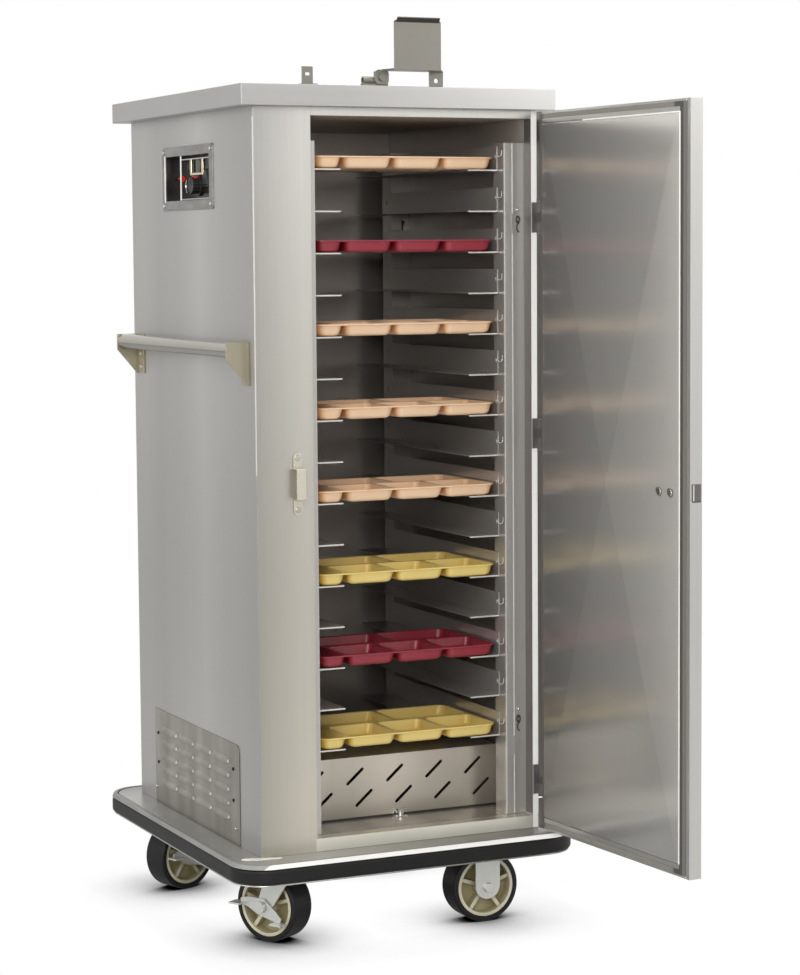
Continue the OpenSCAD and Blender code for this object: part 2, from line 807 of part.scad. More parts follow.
// Outer pan folded from sheet, with hinge notches and the latch cut-out
module door_shell() color("#a2a19c") on_door() difference() {
    union() {
        difference() {
            translate([door_x0, door_y0, door_z0]) cube([door_w, door_t, door_h]);
            translate([door_x0 + skin_t, door_y0 + skin_t, door_z0 + skin_t])
                cube([door_w - 2 * skin_t, door_t - 2 * skin_t, door_h - 2 * skin_t]);
            door_panel(2, door_y1 - skin_t - 1, skin_t + 2);
        }
        for (h = hinge_heights) translate([0, 0, door_z0 + h]) door_notch(skin_t, 0);
    }
    for (h = hinge_heights) translate([0, 0, door_z0 + h]) door_notch(0, 1);
    latch_pocket(1);
    latch_screw_holes(latch_screw_d + 2 * pin_gap);
    translate([lever_x, 0, latch_z]) rod_y(lever_pin_d + 4, door_y0 - 1, door_y0 + 6);
}

// Inner panel, a little proud of the border, on a flange that lies behind it
module door_liner() color("#9b9a95") on_door() difference() {
    union() {
        door_panel(0, door_y1 - pan_t, pan_t + 0.6);
        door_panel(pan_flange, door_y1 - pan_t, pan_t - skin_t);
    }
    for (h = hinge_heights) translate([0, 0, door_z0 + h]) door_notch(skin_t + gap, 1);
    translate([door_x0 + pan_inset_free + skin_t, door_y1 - pan_t - 1,
        door_z0 + pan_inset_end + skin_t])
        cube([door_w - pan_inset_free - pan_inset_hinge - 2 * skin_t,
            pan_t + 0.6 - skin_t + 1, door_h - 2 * pan_inset_end - 2 * skin_t]);
    latch_screw_holes(latch_screw_d + 2 * pin_gap);
}

module door_gasket() color("#3a3632") on_door() {
    x0 = door_x0 + 10;
    x1 = door_x1 - pan_inset_hinge + gasket_w + 1;
    z = door_z0 + 4;
    h = door_h - 8;
    difference() {
        translate([x0, door_y1, z]) cube([x1 - x0, gasket_t, h]);
        translate([x0 + pan_inset_free - 13, door_y1 - 1, z + gasket_w])
            cube([x1 - x0 - pan_inset_free + 13 - gasket_w, gasket_t + 2, h - 2 * gasket_w]);
        for (h = hinge_heights) translate([0, 0, door_z0 + h]) door_notch(1, 2);
    }
}

// Case in the free edge and rose plate on the outer face
module latch_body() color("#3c3a37") on_door() difference() {
    union() {
        latch_pocket();
        translate([lever_x, door_y0, latch_z]) rotate([90, 0, 0])
            linear_extrude(3) rounded(56, 96, 10);
    }
    translate([door_x0 - 1, bolt_y - bolt_size[1] / 2 - gap,
        latch_z - bolt_size[2] / 2 - gap])
        cube([bolt_size[0] + 2.6, bolt_size[1] + 2 * gap, bolt_size[2] + 2 * gap]);
    latch_screw_holes(latch_screw_d + 2 * pin_gap);
    translate([lever_x, 0, latch_z])
        rod_y(lever_pin_d + 2 * pin_gap, door_y0 - 4, latch_case_y + 9);
}

module latch_screws() color("#8c8981") on_door()
    for (x = latch_screw_x) translate([x, 0, latch_z]) {
        rod_y(latch_screw_d, door_y0 - 4, door_y1 + 1.5);
        rod_y(11, door_y0 - 6, door_y0 - 3);
        rod_y(11, door_y1 + 0.6, door_y1 + 3);
    }

// Lever on the outer face: boss, spindle and a tapered arm that hangs down
module latch_lever() color("#9a978e") on_door()
    translate([lever_x, 0, latch_z]) {
        face = door_y0 - 3 - gap;
        rod_y(lever_pin_d, face - 1, latch_case_y + 8);
        rod_y(22, face - 16, face - 4);
        rod_y(20, face - 5, face);
        translate([0, face - 8, 0]) rotate([90, 0, 0]) linear_extrude(8) {
            polygon([[-10, 0], [10, 0], [8, -104], [-8, -104]]);
            translate([0, -104]) circle(8);
        }
    }

// Tongue with its bevelled tip
module latch_bolt() color("#b8b5ac") on_door()
    translate([door_x0 + 0.8, bolt_y, latch_z - bolt_size[2] / 2])
        linear_extrude(bolt_size[2]) polygon([[0, -bolt_size[1] / 2],
            [bolt_size[0], -bolt_size[1] / 2], [bolt_size[0], bolt_size[1] / 2],
            [5, bolt_size[1] / 2], [0, 0]]);

// ---- Roof latch --------------------------------------------------------

// Turn-over plate on a shelf with two legs; it pivots on its left leg
module transport_flap() color("#8e8b80") {
    front = door_y0 - 1.5 - flap_t;
    shelf_z = flap_z + 10.5;
    pivot = flap_x - leg_span / 2;
    difference() {
        union() {
            translate([pivot, flap_y, flap_z + 0.5]) rotate([90, 0, 0])
                linear_extrude(flap_t, center = true) rounded(leg_w, 25, 8);
            translate([pivot + leg_span - leg_w / 2, flap_y - flap_t / 2, flap_z - 14])
                cube([leg_w, flap_t, 27]);
            translate([0, 0, shelf_z]) linear_extrude(flap_t) polygon([
                [pivot, flap_y + flap_t / 2],
                [pivot + leg_span + leg_w / 2, flap_y + flap_t / 2],
                [pivot + leg_span + leg_w / 2, flap_y - flap_t / 2],
                [flap_x + flap_w / 2, front], [flap_x - flap_w / 2, front],
                [pivot, flap_y - flap_t / 2]]);
            translate([flap_x, front + flap_t, shelf_z]) rotate([90, 0, 0])
                linear_extrude(flap_t) {
                    translate([-flap_w / 2, 0]) square([flap_w, flap_h - 4]);
                    translate([-flap_w / 2 + 4, 0]) square([flap_w - 8, flap_h]);
                    for (x = [-1, 1]) translate([x * (flap_w / 2 - 4), flap_h - 4]) circle(4);
                }
            translate([flap_x - flap_w / 2 + 4, front, shelf_z + flap_h - 3])
                rotate([45, 0, 0]) cube([flap_w - 8, flap_t, 9]);
        }
        translate([pivot, flap_y, flap_z]) rod_y(stud_d + 2 * pin_gap, -5, 5);
        translate([pivot + leg_span, flap_y, flap_z - 4]) rod_y(8, -5, 5);
    }
}

// Pivot bracket with its stud, detent barrel beside it and slotted lock tab
module roof_brackets() color("#a5a298") {
    pivot = flap_x - leg_span / 2;
    back = flap_y + flap_t / 2 + gap;
    translate([pivot - leg_w / 2, back, roof_z]) cube([leg_w, 3, flap_pivot_rise + 10]);
    translate([pivot - leg_w / 2, back, roof_z]) cube([leg_w, 26, 3]);
    translate([pivot, 0, flap_z]) {
        rod_y(stud_d, flap_y - flap_t / 2 - gap - 1, back + 1);
        rod_y(13, flap_y - flap_t / 2 - gap - 3, flap_y - flap_t / 2 - gap);
    }
    translate([pivot - leg_w / 2, back + 6.5, roof_z + 11]) difference() {
        rod_x(13, -19, 0);
        rod_x(8, -20, -8);
    }
    translate([pivot - leg_w / 2 - 20, back, roof_z]) cube([20, 13, 5.5]);
    translate([lock_x, yf, roof_z]) {
        difference() {
            cube([19.5, 3, 31]);
            translate([6, -1, 16]) cube([8, 5, 5]);
        }
        cube([28, 18, 3]);
    }
}

// ---- Casters -----------------------------------------------------------

// Top plates; the left pair also carries a race and a kingpin
module caster_plates() color("#c9c7c0")
    for (x = [-1, 1], y = [-1, 1]) translate([x * caster_x, y * caster_y, 0]) {
        translate([0, 0, caster_h - plate_t]) linear_extrude(plate_t) rounded(102, 114, 8);
        for (bx = [-1, 1], by = [-1, 1]) translate([bx * 38, by * 44, caster_h - plate_t - 5])
            cylinder(d = 13, h = 5, $fn = 6);
        if (x < 0) {
            translate([0, 0, crown_z + crown_t + 8 + gap])
                cylinder(d = race_d + 8, h = caster_h - plate_t - crown_z - crown_t - 8 - gap);
            translate([0, 0, crown_z - 1]) cylinder(d = kingpin_d, h = caster_h - crown_z - 2);
            translate([0, 0, crown_z - 6 - gap]) cylinder(d = 20, h = 6, $fn = 6);
        }
    }

// Axle along Y with its head and nut, at the origin
module axle() {
    rod_y(axle_d, -fork_out - brake_t - 1, fork_out + 1);
    rod_y(20, -fork_out - brake_t - 2 * gap - 7, -fork_out - brake_t - 2 * gap);
    rod_y(20, fork_out, fork_out + 7);
}

// Rigid fork: one strap bent into a U, with its axle
module rigid_fork() {
    top = caster_h - plate_t;
    for (s = [-1, 1]) translate([0, s * (fork_in + fork_t) / 2, 0]) rotate([90, 0, 0])
        linear_extrude(fork_t, center = true) {
            translate([-fork_w / 2, axle_z + 3]) square([fork_w, top - axle_z - 3]);
            translate([0, axle_z + 3]) circle(d = fork_w);
        }
    translate([-fork_w / 2, -fork_out, top - 6]) cube([fork_w, 2 * fork_out, 6]);
    translate([0, 0, axle_z]) {
        rod_y(axle_d, -fork_out - 1, fork_out + 1);
        for (y = [-fork_out - 6, fork_out]) translate([0, y, 0])
            rotate([-90, 0, 0]) cylinder(d = 19, h = 6, $fn = 6);
    }
}

module forks_rigid() color("#d6d5cf")
    for (y = [-1, 1]) translate([caster_x, y * caster_y, 0]) rigid_fork();

// Puts its children at a swivel caster, turned with it
module at_swivel(end, turn)
    translate([-caster_x, end * caster_y, 0]) rotate([0, 0, turn]) children();

// Raked fork under its crown; the axle trails behind the kingpin
module swivel_fork() {
    difference() {
        union() {
            translate([0, 0, crown_z]) linear_extrude(crown_t) {
                circle(d = race_d);
                square([fork_w + 8, 2 * fork_out], center = true);
            }
            translate([0, 0, crown_z + crown_t]) cylinder(d = race_d, h = 8);
            for (s = [-1, 1]) translate([0, s * (fork_in + fork_t) / 2, 0])
                rotate([90, 0, 0]) linear_extrude(fork_t, center = true) {
                    polygon([[-fork_w / 2 - 4, crown_z + 1], [fork_w / 2 + 4, crown_z + 1],
                        [-trail + 16, axle_z - 6], [-trail - 16, axle_z - 4]]);
                    translate([-trail, axle_z]) circle(17);
                }
        }
        translate([0, 0, crown_z - 1])
            cylinder(d = kingpin_d + 2 * pin_gap, h = crown_t + 20);
    }
    translate([-trail, 0, axle_z]) axle();
}

module fork_fl() color("#d2d0c8") at_swivel(-1, swivel_front) swivel_fork();
module fork_rl() color("#d2d0c8") at_swivel(1, swivel_rear) swivel_fork();

// Side brake: a plate on the axle with a pedal at each end
module brake_lever()
    translate([-trail, 0, axle_z]) {
        difference() {
            translate([0, -fork_out - gap, 0]) rotate([90, 0, 0]) linear_extrude(brake_t) {
                circle(15);
                polygon([[0, 15], [-30, 15], [-46, 11], [-46, 2], [-30, -3], [-8, -14]]);
                polygon([[8, 13], [32, -6], [42, -16], [38, -25], [26, -22], [-4, -15]]);
            }
            rod_y(axle_d + 2 * pin_gap, -fork_out - brake_t - 2, -fork_out + 1);
        }
        translate([-58, -fork_out - gap - 22, 3]) cube([24, 22, 3]);
        translate([28, -fork_out - gap - 20, -25]) cube([24, 20, 3]);
    }

module brake_fl() color("#bdbbb2") at_swivel(-1, swivel_front) brake_lever();
module brake_rl() color("#bdbbb2") at_swivel(1, swivel_rear) brake_lever();

// Black tread with rounded shoulders
module tread() color("#1b1a1e") rotate([90, 0, 0]) rotate_extrude() {
    r = wheel_d / 2;
    inner = rim_r + 2 * gap;
    s = (r - inner) / 2;
    translate([inner, -wheel_w / 2 + s]) square([r - inner, wheel_w - 2 * s]);
    translate([inner, -wheel_w / 2]) square([r - inner - s, wheel_w]);
    for (y = [-1, 1]) translate([r - s, y * (wheel_w / 2 - s)]) circle(s);
}

// Moulded core: rim, web, hub and five double-sided spokes
module core() color("#cfc9ae") rotate([90, 0, 0]) difference() {
    union() {
        rotate_extrude() {
            translate([rim_r - 6, -wheel_w / 2 + 1]) square([6, wheel_w - 2]);
            translate([5, -3]) square([rim_r - 8, 6]);
            translate([5, -hub_w / 2]) square([13, hub_w]);
        }
        for (a = [0 : 72 : 288]) rotate(a + 18)
            translate([0, -3.5, -wheel_w / 2 + 5]) cube([rim_r - 3, 7, wheel_w - 10]);
    }
    cylinder(d = axle_d + 2 * pin_gap, h = 2 * wheel_w, center = true);
}

module wheel_place(name)
    if (name == "fl") at_swivel(-1, swivel_front) translate([-trail, 0, axle_z]) children();
    else if (name == "rl") at_swivel(1, swivel_rear) translate([-trail, 0, axle_z]) children();
    else translate([caster_x, (name == "fr" ? -1 : 1) * caster_y, axle_z]) children();

// ---- Trays ---------------------------------------------------------------

// A well with sloping sides, from its upper outline
module well(w, d) {
    hull() {
        translate([w / 2, d / 2, tray_h - 1]) linear_extrude(2) rounded(w, d, 12, $fn = 16);
        translate([w / 2, d / 2, 3]) linear_extrude(1)
            rounded(w - 8, d - 8, 9, $fn = 16);
    }
}

// Moulded tray: cutlery channel, three wells in front and two behind
module tray_body() {
    wide = tray_w - 2 * tray_rim;
    deep = tray_d - 2 * tray_rim;
    rest = wide - cutlery_w - tray_rib;
    front = (rest - 2 * tray_rib) / 3;
    back = (rest - tray_rib) / 2;
    x1 = -wide / 2 + cutlery_w + tray_rib;
    difference() {
        union() {
            hull() {
                translate([0, tray_d / 2, 0]) linear_extrude(1)
                    rounded(tray_w - 22, tray_d - 22, 14, $fn = 16);
                translate([0, tray_d / 2, tray_h - 4]) linear_extrude(1)
                    rounded(tray_w - 10, tray_d - 10, 18, $fn = 16);
            }
            translate([0, tray_d / 2, tray_h - 4]) linear_extrude(4)
                rounded(tray_w, tray_d, 20, $fn = 16);
        }
        translate([-wide / 2, tray_rim, 0]) well(cutlery_w, deep);
        for (i = [0 : 2])
            translate([x1 + i * (front + tray_rib), tray_rim, 0]) well(front, front_well_d);
        for (i = [0, 1])
            translate([x1 + i * (back + tray_rib), tray_rim + front_well_d + tray_rib, 0])
                well(back, deep - front_well_d - tray_rib);
    }
}

module tray(i) color(["#e3ac86", "#9c2740", "#e3ac86", "#e3ac86", "#e3ac86", "#e8cf86",
    "#9c2740", "#e8cf86"][i])
    translate([rack_x, tray_y, slide_z0 + tray_levels[i] * slide_pitch + gap]) tray_body();

// ---- Nodes -----------------------------------------------------------------

base_deck();
bumper();
side_left();
side_right();
back_panel();
front_frame();
roof_cap();
liner();
liner_floor();
rack_left();
rack_right();
slides_left();
slides_right();
baffle_box();
display_window();
heater_element();
louver_panel();
body_screws();
control_box();
control_bezel();
pilot_lamps();
handle_brackets();
handle_tube();
strike();
hinge_leaves();
hinge_pins();
roof_brackets();
caster_plates();
forks_rigid();
thermostat_knob();
power_rocker();
door_shell();
door_liner();
door_gasket();
door_hinge_leaves();
latch_body();
latch_screws();
latch_lever();
latch_bolt();
transport_flap();
fork_fl();
fork_rl();
brake_fl();
brake_rl();
for (name = ["fl", "fr", "rl", "rr"]) {
    wheel_place(name) tread();
    wheel_place(name) core();
}
for (i = [0 : 7])
    tray(i);
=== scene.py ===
# %% [markdown]
# # An enclosed meal tray cart
# A heated steel cabinet on casters, with its door open on eight meal trays.
# The solids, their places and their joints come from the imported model. This
# lesson gives them rounded edges, finishes and the small forms that make
# sheet metal look like sheet metal. Lengths are in metres, so MM turns the
# millimetres of a drawing into the scene's unit.

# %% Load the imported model
import json
import math

import bmesh
import bpy
from mathutils import Matrix, Vector


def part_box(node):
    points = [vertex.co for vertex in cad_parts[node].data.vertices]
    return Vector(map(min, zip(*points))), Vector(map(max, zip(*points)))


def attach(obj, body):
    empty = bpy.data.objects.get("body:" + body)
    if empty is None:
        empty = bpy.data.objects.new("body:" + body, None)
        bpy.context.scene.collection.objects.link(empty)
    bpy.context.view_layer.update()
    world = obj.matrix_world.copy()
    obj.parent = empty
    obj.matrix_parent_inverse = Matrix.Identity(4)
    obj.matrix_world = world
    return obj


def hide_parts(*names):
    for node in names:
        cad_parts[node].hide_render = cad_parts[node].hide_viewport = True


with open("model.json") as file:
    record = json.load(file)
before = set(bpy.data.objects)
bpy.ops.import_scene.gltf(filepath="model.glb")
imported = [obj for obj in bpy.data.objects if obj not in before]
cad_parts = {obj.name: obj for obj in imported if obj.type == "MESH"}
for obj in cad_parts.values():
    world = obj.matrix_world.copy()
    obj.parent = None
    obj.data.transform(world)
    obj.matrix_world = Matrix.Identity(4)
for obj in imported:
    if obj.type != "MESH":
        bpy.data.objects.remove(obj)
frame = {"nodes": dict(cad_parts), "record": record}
nodes = frame["nodes"]
body_of = {n: b for b, ns in frame["record"]["behaviour"]["bodies"].items() for n in ns}
slot_of = {s["node"]: s["material_slot"] for s in frame["record"]["subparts"]}
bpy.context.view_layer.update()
MM = 0.001

# %% [markdown]
# ## The camera
# The view was found by fitting a perspective camera to the cabinet's straight
# edges. Its place, its aim and its lens are all that is needed. A product
# picture like this one is taken from far away with a long lens, so upright
# edges stay almost parallel.

# %% Camera
camera_data = bpy.data.cameras.new("camera")
camera_data.sensor_width = 36
camera_data.lens = 95.7
camera_data.shift_x = -0.0014
camera_data.shift_y = -0.0145
camera_data.clip_end = 60
camera = bpy.data.objects.new("camera", camera_data)
bpy.context.scene.collection.objects.link(camera)
eye = (-1.8608, -4.3238, 1.1929)
azimuth, elevation, roll = (math.radians(a) for a in (24.869, 4.899, -0.43))
forward = Vector((math.sin(azimuth) * math.cos(elevation),
                  math.cos(azimuth) * math.cos(elevation), -math.sin(elevation)))
level = forward.cross(Vector((0, 0, 1))).normalized()
right = level * math.cos(roll) + level.cross(forward) * math.sin(roll)
turn = Matrix((right, right.cross(forward), -forward)).transposed()
camera.matrix_world = Matrix.Translation(eye) @ turn.to_4x4()
bpy.context.scene.camera = camera
print("camera at", eye, "with a lens of", camera_data.lens)

# %% [markdown]
# ## Nodes
# Every light and every finish here is made of nodes. One helper adds a node with
# its settings and links in one line, so that each recipe below stays short.


# %% Node helpers
def new_material(name):
    """An empty material with one Principled shader: (material, tree, shader)."""
    material = bpy.data.materials.new(name)
    material.use_nodes = True
    tree = material.node_tree
    return material, tree, tree.nodes["Principled BSDF"]


def add(tree, kind, links=(), values=(), **settings):
    """Adds a node; links and values are (input, what) pairs."""
    made = tree.nodes.new("ShaderNode" + kind)
    for key, value in settings.items():
        setattr(made, key, value)
    for socket, value in values:
        made.inputs[socket].default_value = value
    for socket, source in links:
        tree.links.new(source, made.inputs[socket])
    return made


def noise(tree, coords, scale, stretch=(1, 1, 1), detail=2.0, rough=0.5):
    """Noise on stretched coordinates, from 0 to 1."""
    place = add(tree, "Mapping", [("Vector", coords)], [("Scale", stretch)])
    return add(tree, "TexNoise", [("Vector", place.outputs[0])],
               [("Scale", scale), ("Detail", detail), ("Roughness", rough)]).outputs["Fac"]


def ranged(tree, source, low, high, start=0.0, end=1.0):
    """A value carried from start..end over to low..high."""
    return add(tree, "MapRange", [("Value", source)],
               [("From Min", start), ("From Max", end),
                ("To Min", low), ("To Max", high)]).outputs[0]


# %% [markdown]
# ## Light and background
# The object stands in a white room without visible walls. The camera sees pure
# white. Mirror rays see a room that is brighter above and to the right, because
# flat steel shows nothing but what it mirrors: that slope of light is what gives
# a flat front its shading. Diffuse rays get a dimmer, even room.

# %% World
world = bpy.data.worlds.new("studio")
bpy.context.scene.world = world
world.use_nodes = True
sky = world.node_tree
sky.nodes.clear()
seen = add(sky, "LightPath")
way = add(sky, "SeparateXYZ", [(0, add(sky, "TexCoord").outputs["Generated"])])
rise = ranged(sky, way.outputs["Z"], 0.72, 1.0, -0.3, 0.25)
aside = ranged(sky, way.outputs["X"], 0.82, 1.3, 0.15, 0.7)
slope = add(sky, "Math", [(0, rise), (1, aside)], operation="MULTIPLY").outputs[0]
even = add(sky, "Background", [], [("Color", (1, 0.985, 0.965, 1)), ("Strength", 0.42)])
mirrored = add(sky, "Background", [("Strength", slope)], [("Color", (1, 0.99, 0.975, 1))])
white = add(sky, "Background", [], [("Color", (1, 1, 1, 1)), ("Strength", 1.0)])
inner = add(sky, "MixShader", [(0, seen.outputs["Is Glossy Ray"]),
                               (1, even.outputs[0]), (2, mirrored.outputs[0])])
clear = add(sky, "Math", [(0, seen.outputs["Is Camera Ray"]),
                          (1, seen.outputs["Is Transmission Ray"])], operation="MAXIMUM")
outer = add(sky, "MixShader", [(0, clear.outputs[0]), (1, inner.outputs[0]),
                               (2, white.outputs[0])])
add(sky, "OutputWorld", [("Surface", outer.outputs[0])])


# %% Lamps
def lamp(name, place, target, size, watts, colour=(1, 1, 1)):
    """A soft rectangular lamp aimed at a point."""
    data = bpy.data.lights.new(name, "AREA")
    data.shape = "RECTANGLE"
    data.size, data.size_y = size
    data.energy = watts
    data.color = colour
    item = bpy.data.objects.new(name, data)
    bpy.context.scene.collection.objects.link(item)
    item.location = place
    aim = Vector(target) - Vector(place)
    item.rotation_euler = aim.to_track_quat("-Z", "Y").to_euler()


lamp("key", (-2.4, -4.4, 2.4), (0, 0, 0.8), (2.4, 2.4), 120, (1, 0.985, 0.95))
lamp("left_fill", (-4.2, -0.6, 1.8), (0, 0, 0.8), (2.0, 3.0), 40)
lamp("right_fill", (3.0, -3.6, 2.8), (0, 0, 1.2), (1.6, 1.6), 30)
lamp("top", (0.2, -0.6, 4.2), (0, 0, 0.5), (2.4, 2.4), 50)

print("lamps", len(bpy.data.lights))

# %% [markdown]
# The plain view transform keeps paper at full white, as a product picture does.
# The usual one would turn it grey and take the contrast out of the steel.

# %% Colour management
bpy.context.scene.view_settings.view_transform = "Standard"
print("view transform", bpy.context.scene.view_settings.view_transform)

# %% [markdown]
# ## Materials
# Patterns read Object coordinates, which are the same in every piece, so the
# grain of a sheet runs on from one piece to the next.

# %% [markdown]
# ### Brushed steel
# The cabinet is satin stainless sheet. Its grain is thousands of fine parallel
# scratches, too fine to see one by one at this distance. What the eye sees is
# soft streaks along the grain, cloudy bands of light, and a blurred mirror.
# So one noise is stretched along the grain for streaks, one wide noise makes
# the bands, and a fine one bends the surface a very little.


# %% Brushed steel
finishes = {}


def steel(name, colour, grain="Z", rough=0.3, metallic=0.8, band=0.08,
          streak=0.015, bump=0.03, shine=0.5, cloud=5, slopes=(), tilt=None,
          warm=None, nook=None):
    """Satin sheet. A slope is (axis, from, to, tone there, tone here) along the object; a tilt is
    the same for the direction that a face looks in. Both are painted light and shade. Warm sets the
    strength of the colour from one height to another, and nook is the reach and the tone of painted
    shade in corners."""
    material, tree, shader = new_material(name)
    place = add(tree, "TexCoord")
    coords = place.outputs["Object"]
    along = {"X": (0.02, 1, 1), "Y": (1, 0.02, 1), "Z": (1, 1, 0.02)}[grain]
    wide = {"X": (0.3, 1, 1), "Y": (1, 0.3, 1), "Z": (1, 1, 0.18)}[grain]
    streaks = noise(tree, coords, 160, along, 3)
    bands = noise(tree, coords, cloud, wide, 1)
    scratches = noise(tree, coords, 1400, along, 2)
    tone = add(tree, "Math", [(0, ranged(tree, bands, 1 - band, 1 + band, 0.3, 0.7)),
                              (1, ranged(tree, streaks, -streak, streak, 0.3, 0.7))],
               operation="ADD").outputs[0]
    for source, ways in ((coords, slopes), (place.outputs["Normal"], [tilt] if tilt else [])):
        for axis, start, end, low, high in ways:
            part = add(tree, "SeparateXYZ", [(0, source)]).outputs[axis]
            tone = add(tree, "Math", [(0, tone), (1, ranged(tree, part, low, high, start, end))],
                       operation="MULTIPLY").outputs[0]
    if nook:
        hidden = add(tree, "AmbientOcclusion", [], [("Distance", nook[0])]).outputs["AO"]
        tone = add(tree, "Math", [(0, tone), (1, ranged(tree, hidden, nook[1], 1, 0.3, 0.9))],
                   operation="MULTIPLY").outputs[0]
    shaded = add(tree, "HueSaturation", [("Value", tone)], [("Color", (*colour, 1))])
    if warm:
        height = add(tree, "SeparateXYZ", [(0, coords)]).outputs["Z"]
        tree.links.new(ranged(tree, height, warm[2], warm[3], warm[0], warm[1]),
                       shaded.inputs["Saturation"])
    tree.links.new(shaded.outputs[0], shader.inputs["Base Color"])
    tree.links.new(ranged(tree, streaks, rough - streak, rough + streak, 0.3, 0.7),
                   shader.inputs["Roughness"])
    shader.inputs["Metallic"].default_value = metallic
    shader.inputs["Specular IOR Level"].default_value = shine
    bumped = add(tree, "Bump", [("Height", scratches)],
                 [("Strength", bump), ("Distance", 0.0002)])
    tree.links.new(bumped.outputs[0], shader.inputs["Normal"])
    finishes[name] = material


# %% [markdown]
# ### Steel of the cabinet
# Every sheet is the same steel, and yet each part of the cabinet has its own grey: a flat satin
# sheet shows the part of the room that it faces. The lamps give most of that, and each part's base
# grey is painted lighter or darker for the rest. What they can't give, such as a side that turns
# darker towards its corner, is painted as a slope of tone along the sheet.

# %% Steel of the cabinet
# Painted light and shade: the side in bands along its length, darker towards its front corner; the
# frame lighter towards the inner edge of its left stile and changing with height; the deck darker
# to the right where the open door shades it, and towards the back; the cap lighter to the right;
# the liner lighter at its front, top and foot; the rack lighter at its front edge and darker
# behind; the baffle darker at its foot; the sill face lighter at its top.
steel("panel_steel", (0.455, 0.452, 0.44), "Z", 0.36, 0.6, 0.05,
      slopes=[("Y", 0.2458, 0.1629, 1.02, 0.93),
              ("Y", 0.1629, -0.0512, 1.0, 1.22),
              ("Y", -0.0512, -0.2807, 1.0, 0.76)])
steel("frame_steel", (0.525, 0.51, 0.47), "Z", 0.3, 0.75, 0.03,
      slopes=[("Z", 0.45, 1.35, 0.85, 0.98), ("Z", 0.25, 0.6, 1.08, 1.0),
              ("X", -0.262, -0.178, 0.86, 1.24)], warm=(0.2, 1.4, 1.7, 0.6))
steel("deck_steel", (0.44, 0.435, 0.415), "X", 0.3, 0.6, 0.1, cloud=12,
      slopes=[("X", -0.2, 0.13, 1.0, 0.5), ("Y", 0.24, 0.36, 1.0, 0.5)])
steel("cap_steel", (0.455, 0.453, 0.445), "X", 0.32, 0.7, 0.02,
      slopes=[("X", -0.1, 0.29, 1.0, 1.34)])
steel("liner_steel", (0.355, 0.325, 0.30), "Z", 0.32, 0.45, 0.08, 0.004, 0,
      slopes=[("Y", -0.25, 0.2, 1.2, 0.9), ("Z", 1.2, 1.42, 1.0, 1.35),
              ("Z", 0.4, 0.8, 1.2, 1.0)])
steel("rack_steel", (0.42, 0.405, 0.39), "Z", 0.28, 0.6, 0.02, 0.0, 0,
      slopes=[("Y", -0.279, -0.272, 1.3, 1.05), ("Y", -0.2, 0.15, 1.0, 0.72)])
steel("baffle_steel", (0.62, 0.575, 0.50), "Z", 0.3, 0.7, 0.14, 0.003, 0,
      cloud=9, slopes=[("Z", 0.19, 0.31, 0.66, 1.14)])
steel("pan_steel", (0.37, 0.345, 0.31), "Y", 0.25, 0.6, 0.3, 0.01, 0.01,
      cloud=16)
steel("sill_steel", (0.78, 0.76, 0.68), "X", 0.35, 0.5, 0.08, 0.01, 0.01,
      cloud=16, slopes=[("Z", 0.172, 0.192, 0.9, 1.04)])
print("cabinet finishes", len(finishes))

# %% [markdown]
# ### Door
# The door's inner panel is the smoothest sheet of all, nearly a mirror, so it shows soft images of
# the trays. Its tone is painted: darker towards the hinge and lower down, and each tilt of its
# pressed cross gets its own painted grey. The shell is painted darker in a strip on the hinge side
# and on faces turned away from the front. The gasket is dull rubber. It uses the same recipe
# without metal; its slopes paint the shade of the fold it lies in: a dark strip near each edge, and
# a lighter line along the free edge.

# %% Door
steel("shell_steel", (0.49, 0.487, 0.47), "Z", 0.3, 0.7, 0.03,
      slopes=[("Z", 0.3, 1.3, 1.08, 0.98), ("Y", -0.3495, -0.346, 1, 0.35)],
      tilt=("Y", -0.9, -0.2, 1.1, 0.84))
steel("door_panel", (0.40, 0.395, 0.38), "Z", 0.17, 0.5, 0.03, 0.006, 0,
      slopes=[("Y", -0.36, -0.76, 0.66, 1.36), ("Z", 0.25, 0.7, 0.85, 1.0)],
      tilt=("Y", -0.095, -0.055, 1.13, 0.98))
steel("gasket_rubber", (0.22, 0.212, 0.195), "Z", 0.5, 0.0, 0.03, 0, 0,
      slopes=[("Y", -0.738, -0.744, 1, 0.3), ("Y", -0.7655, -0.7665, 1, 2.4),
              ("Y", -0.356, -0.35, 1, 0.45)])
print("with the door", len(finishes))

# %% [markdown]
# ### Fittings
# Screws, hinges, casters and the push handle are bought parts, so their steel differs from the
# sheet. Brackets and strike are tinted yellow, casters are zinc plated, and what lies in shade is
# painted darker and dull.

# %% Fittings
steel("bright_steel", (0.62, 0.61, 0.58), "Z", 0.16, 0.95, 0.03)
steel("zinc_steel", (0.64, 0.645, 0.62), "Z", 0.35, 0.6, 0.05)
steel("screw_steel", (0.62, 0.61, 0.58), "Z", 0.16, 0.95, 0.03,
      slopes=[("Z", 0.21, 0.215, 1, 0.05), ("Z", 0.5, 0.51, 1, 20)])
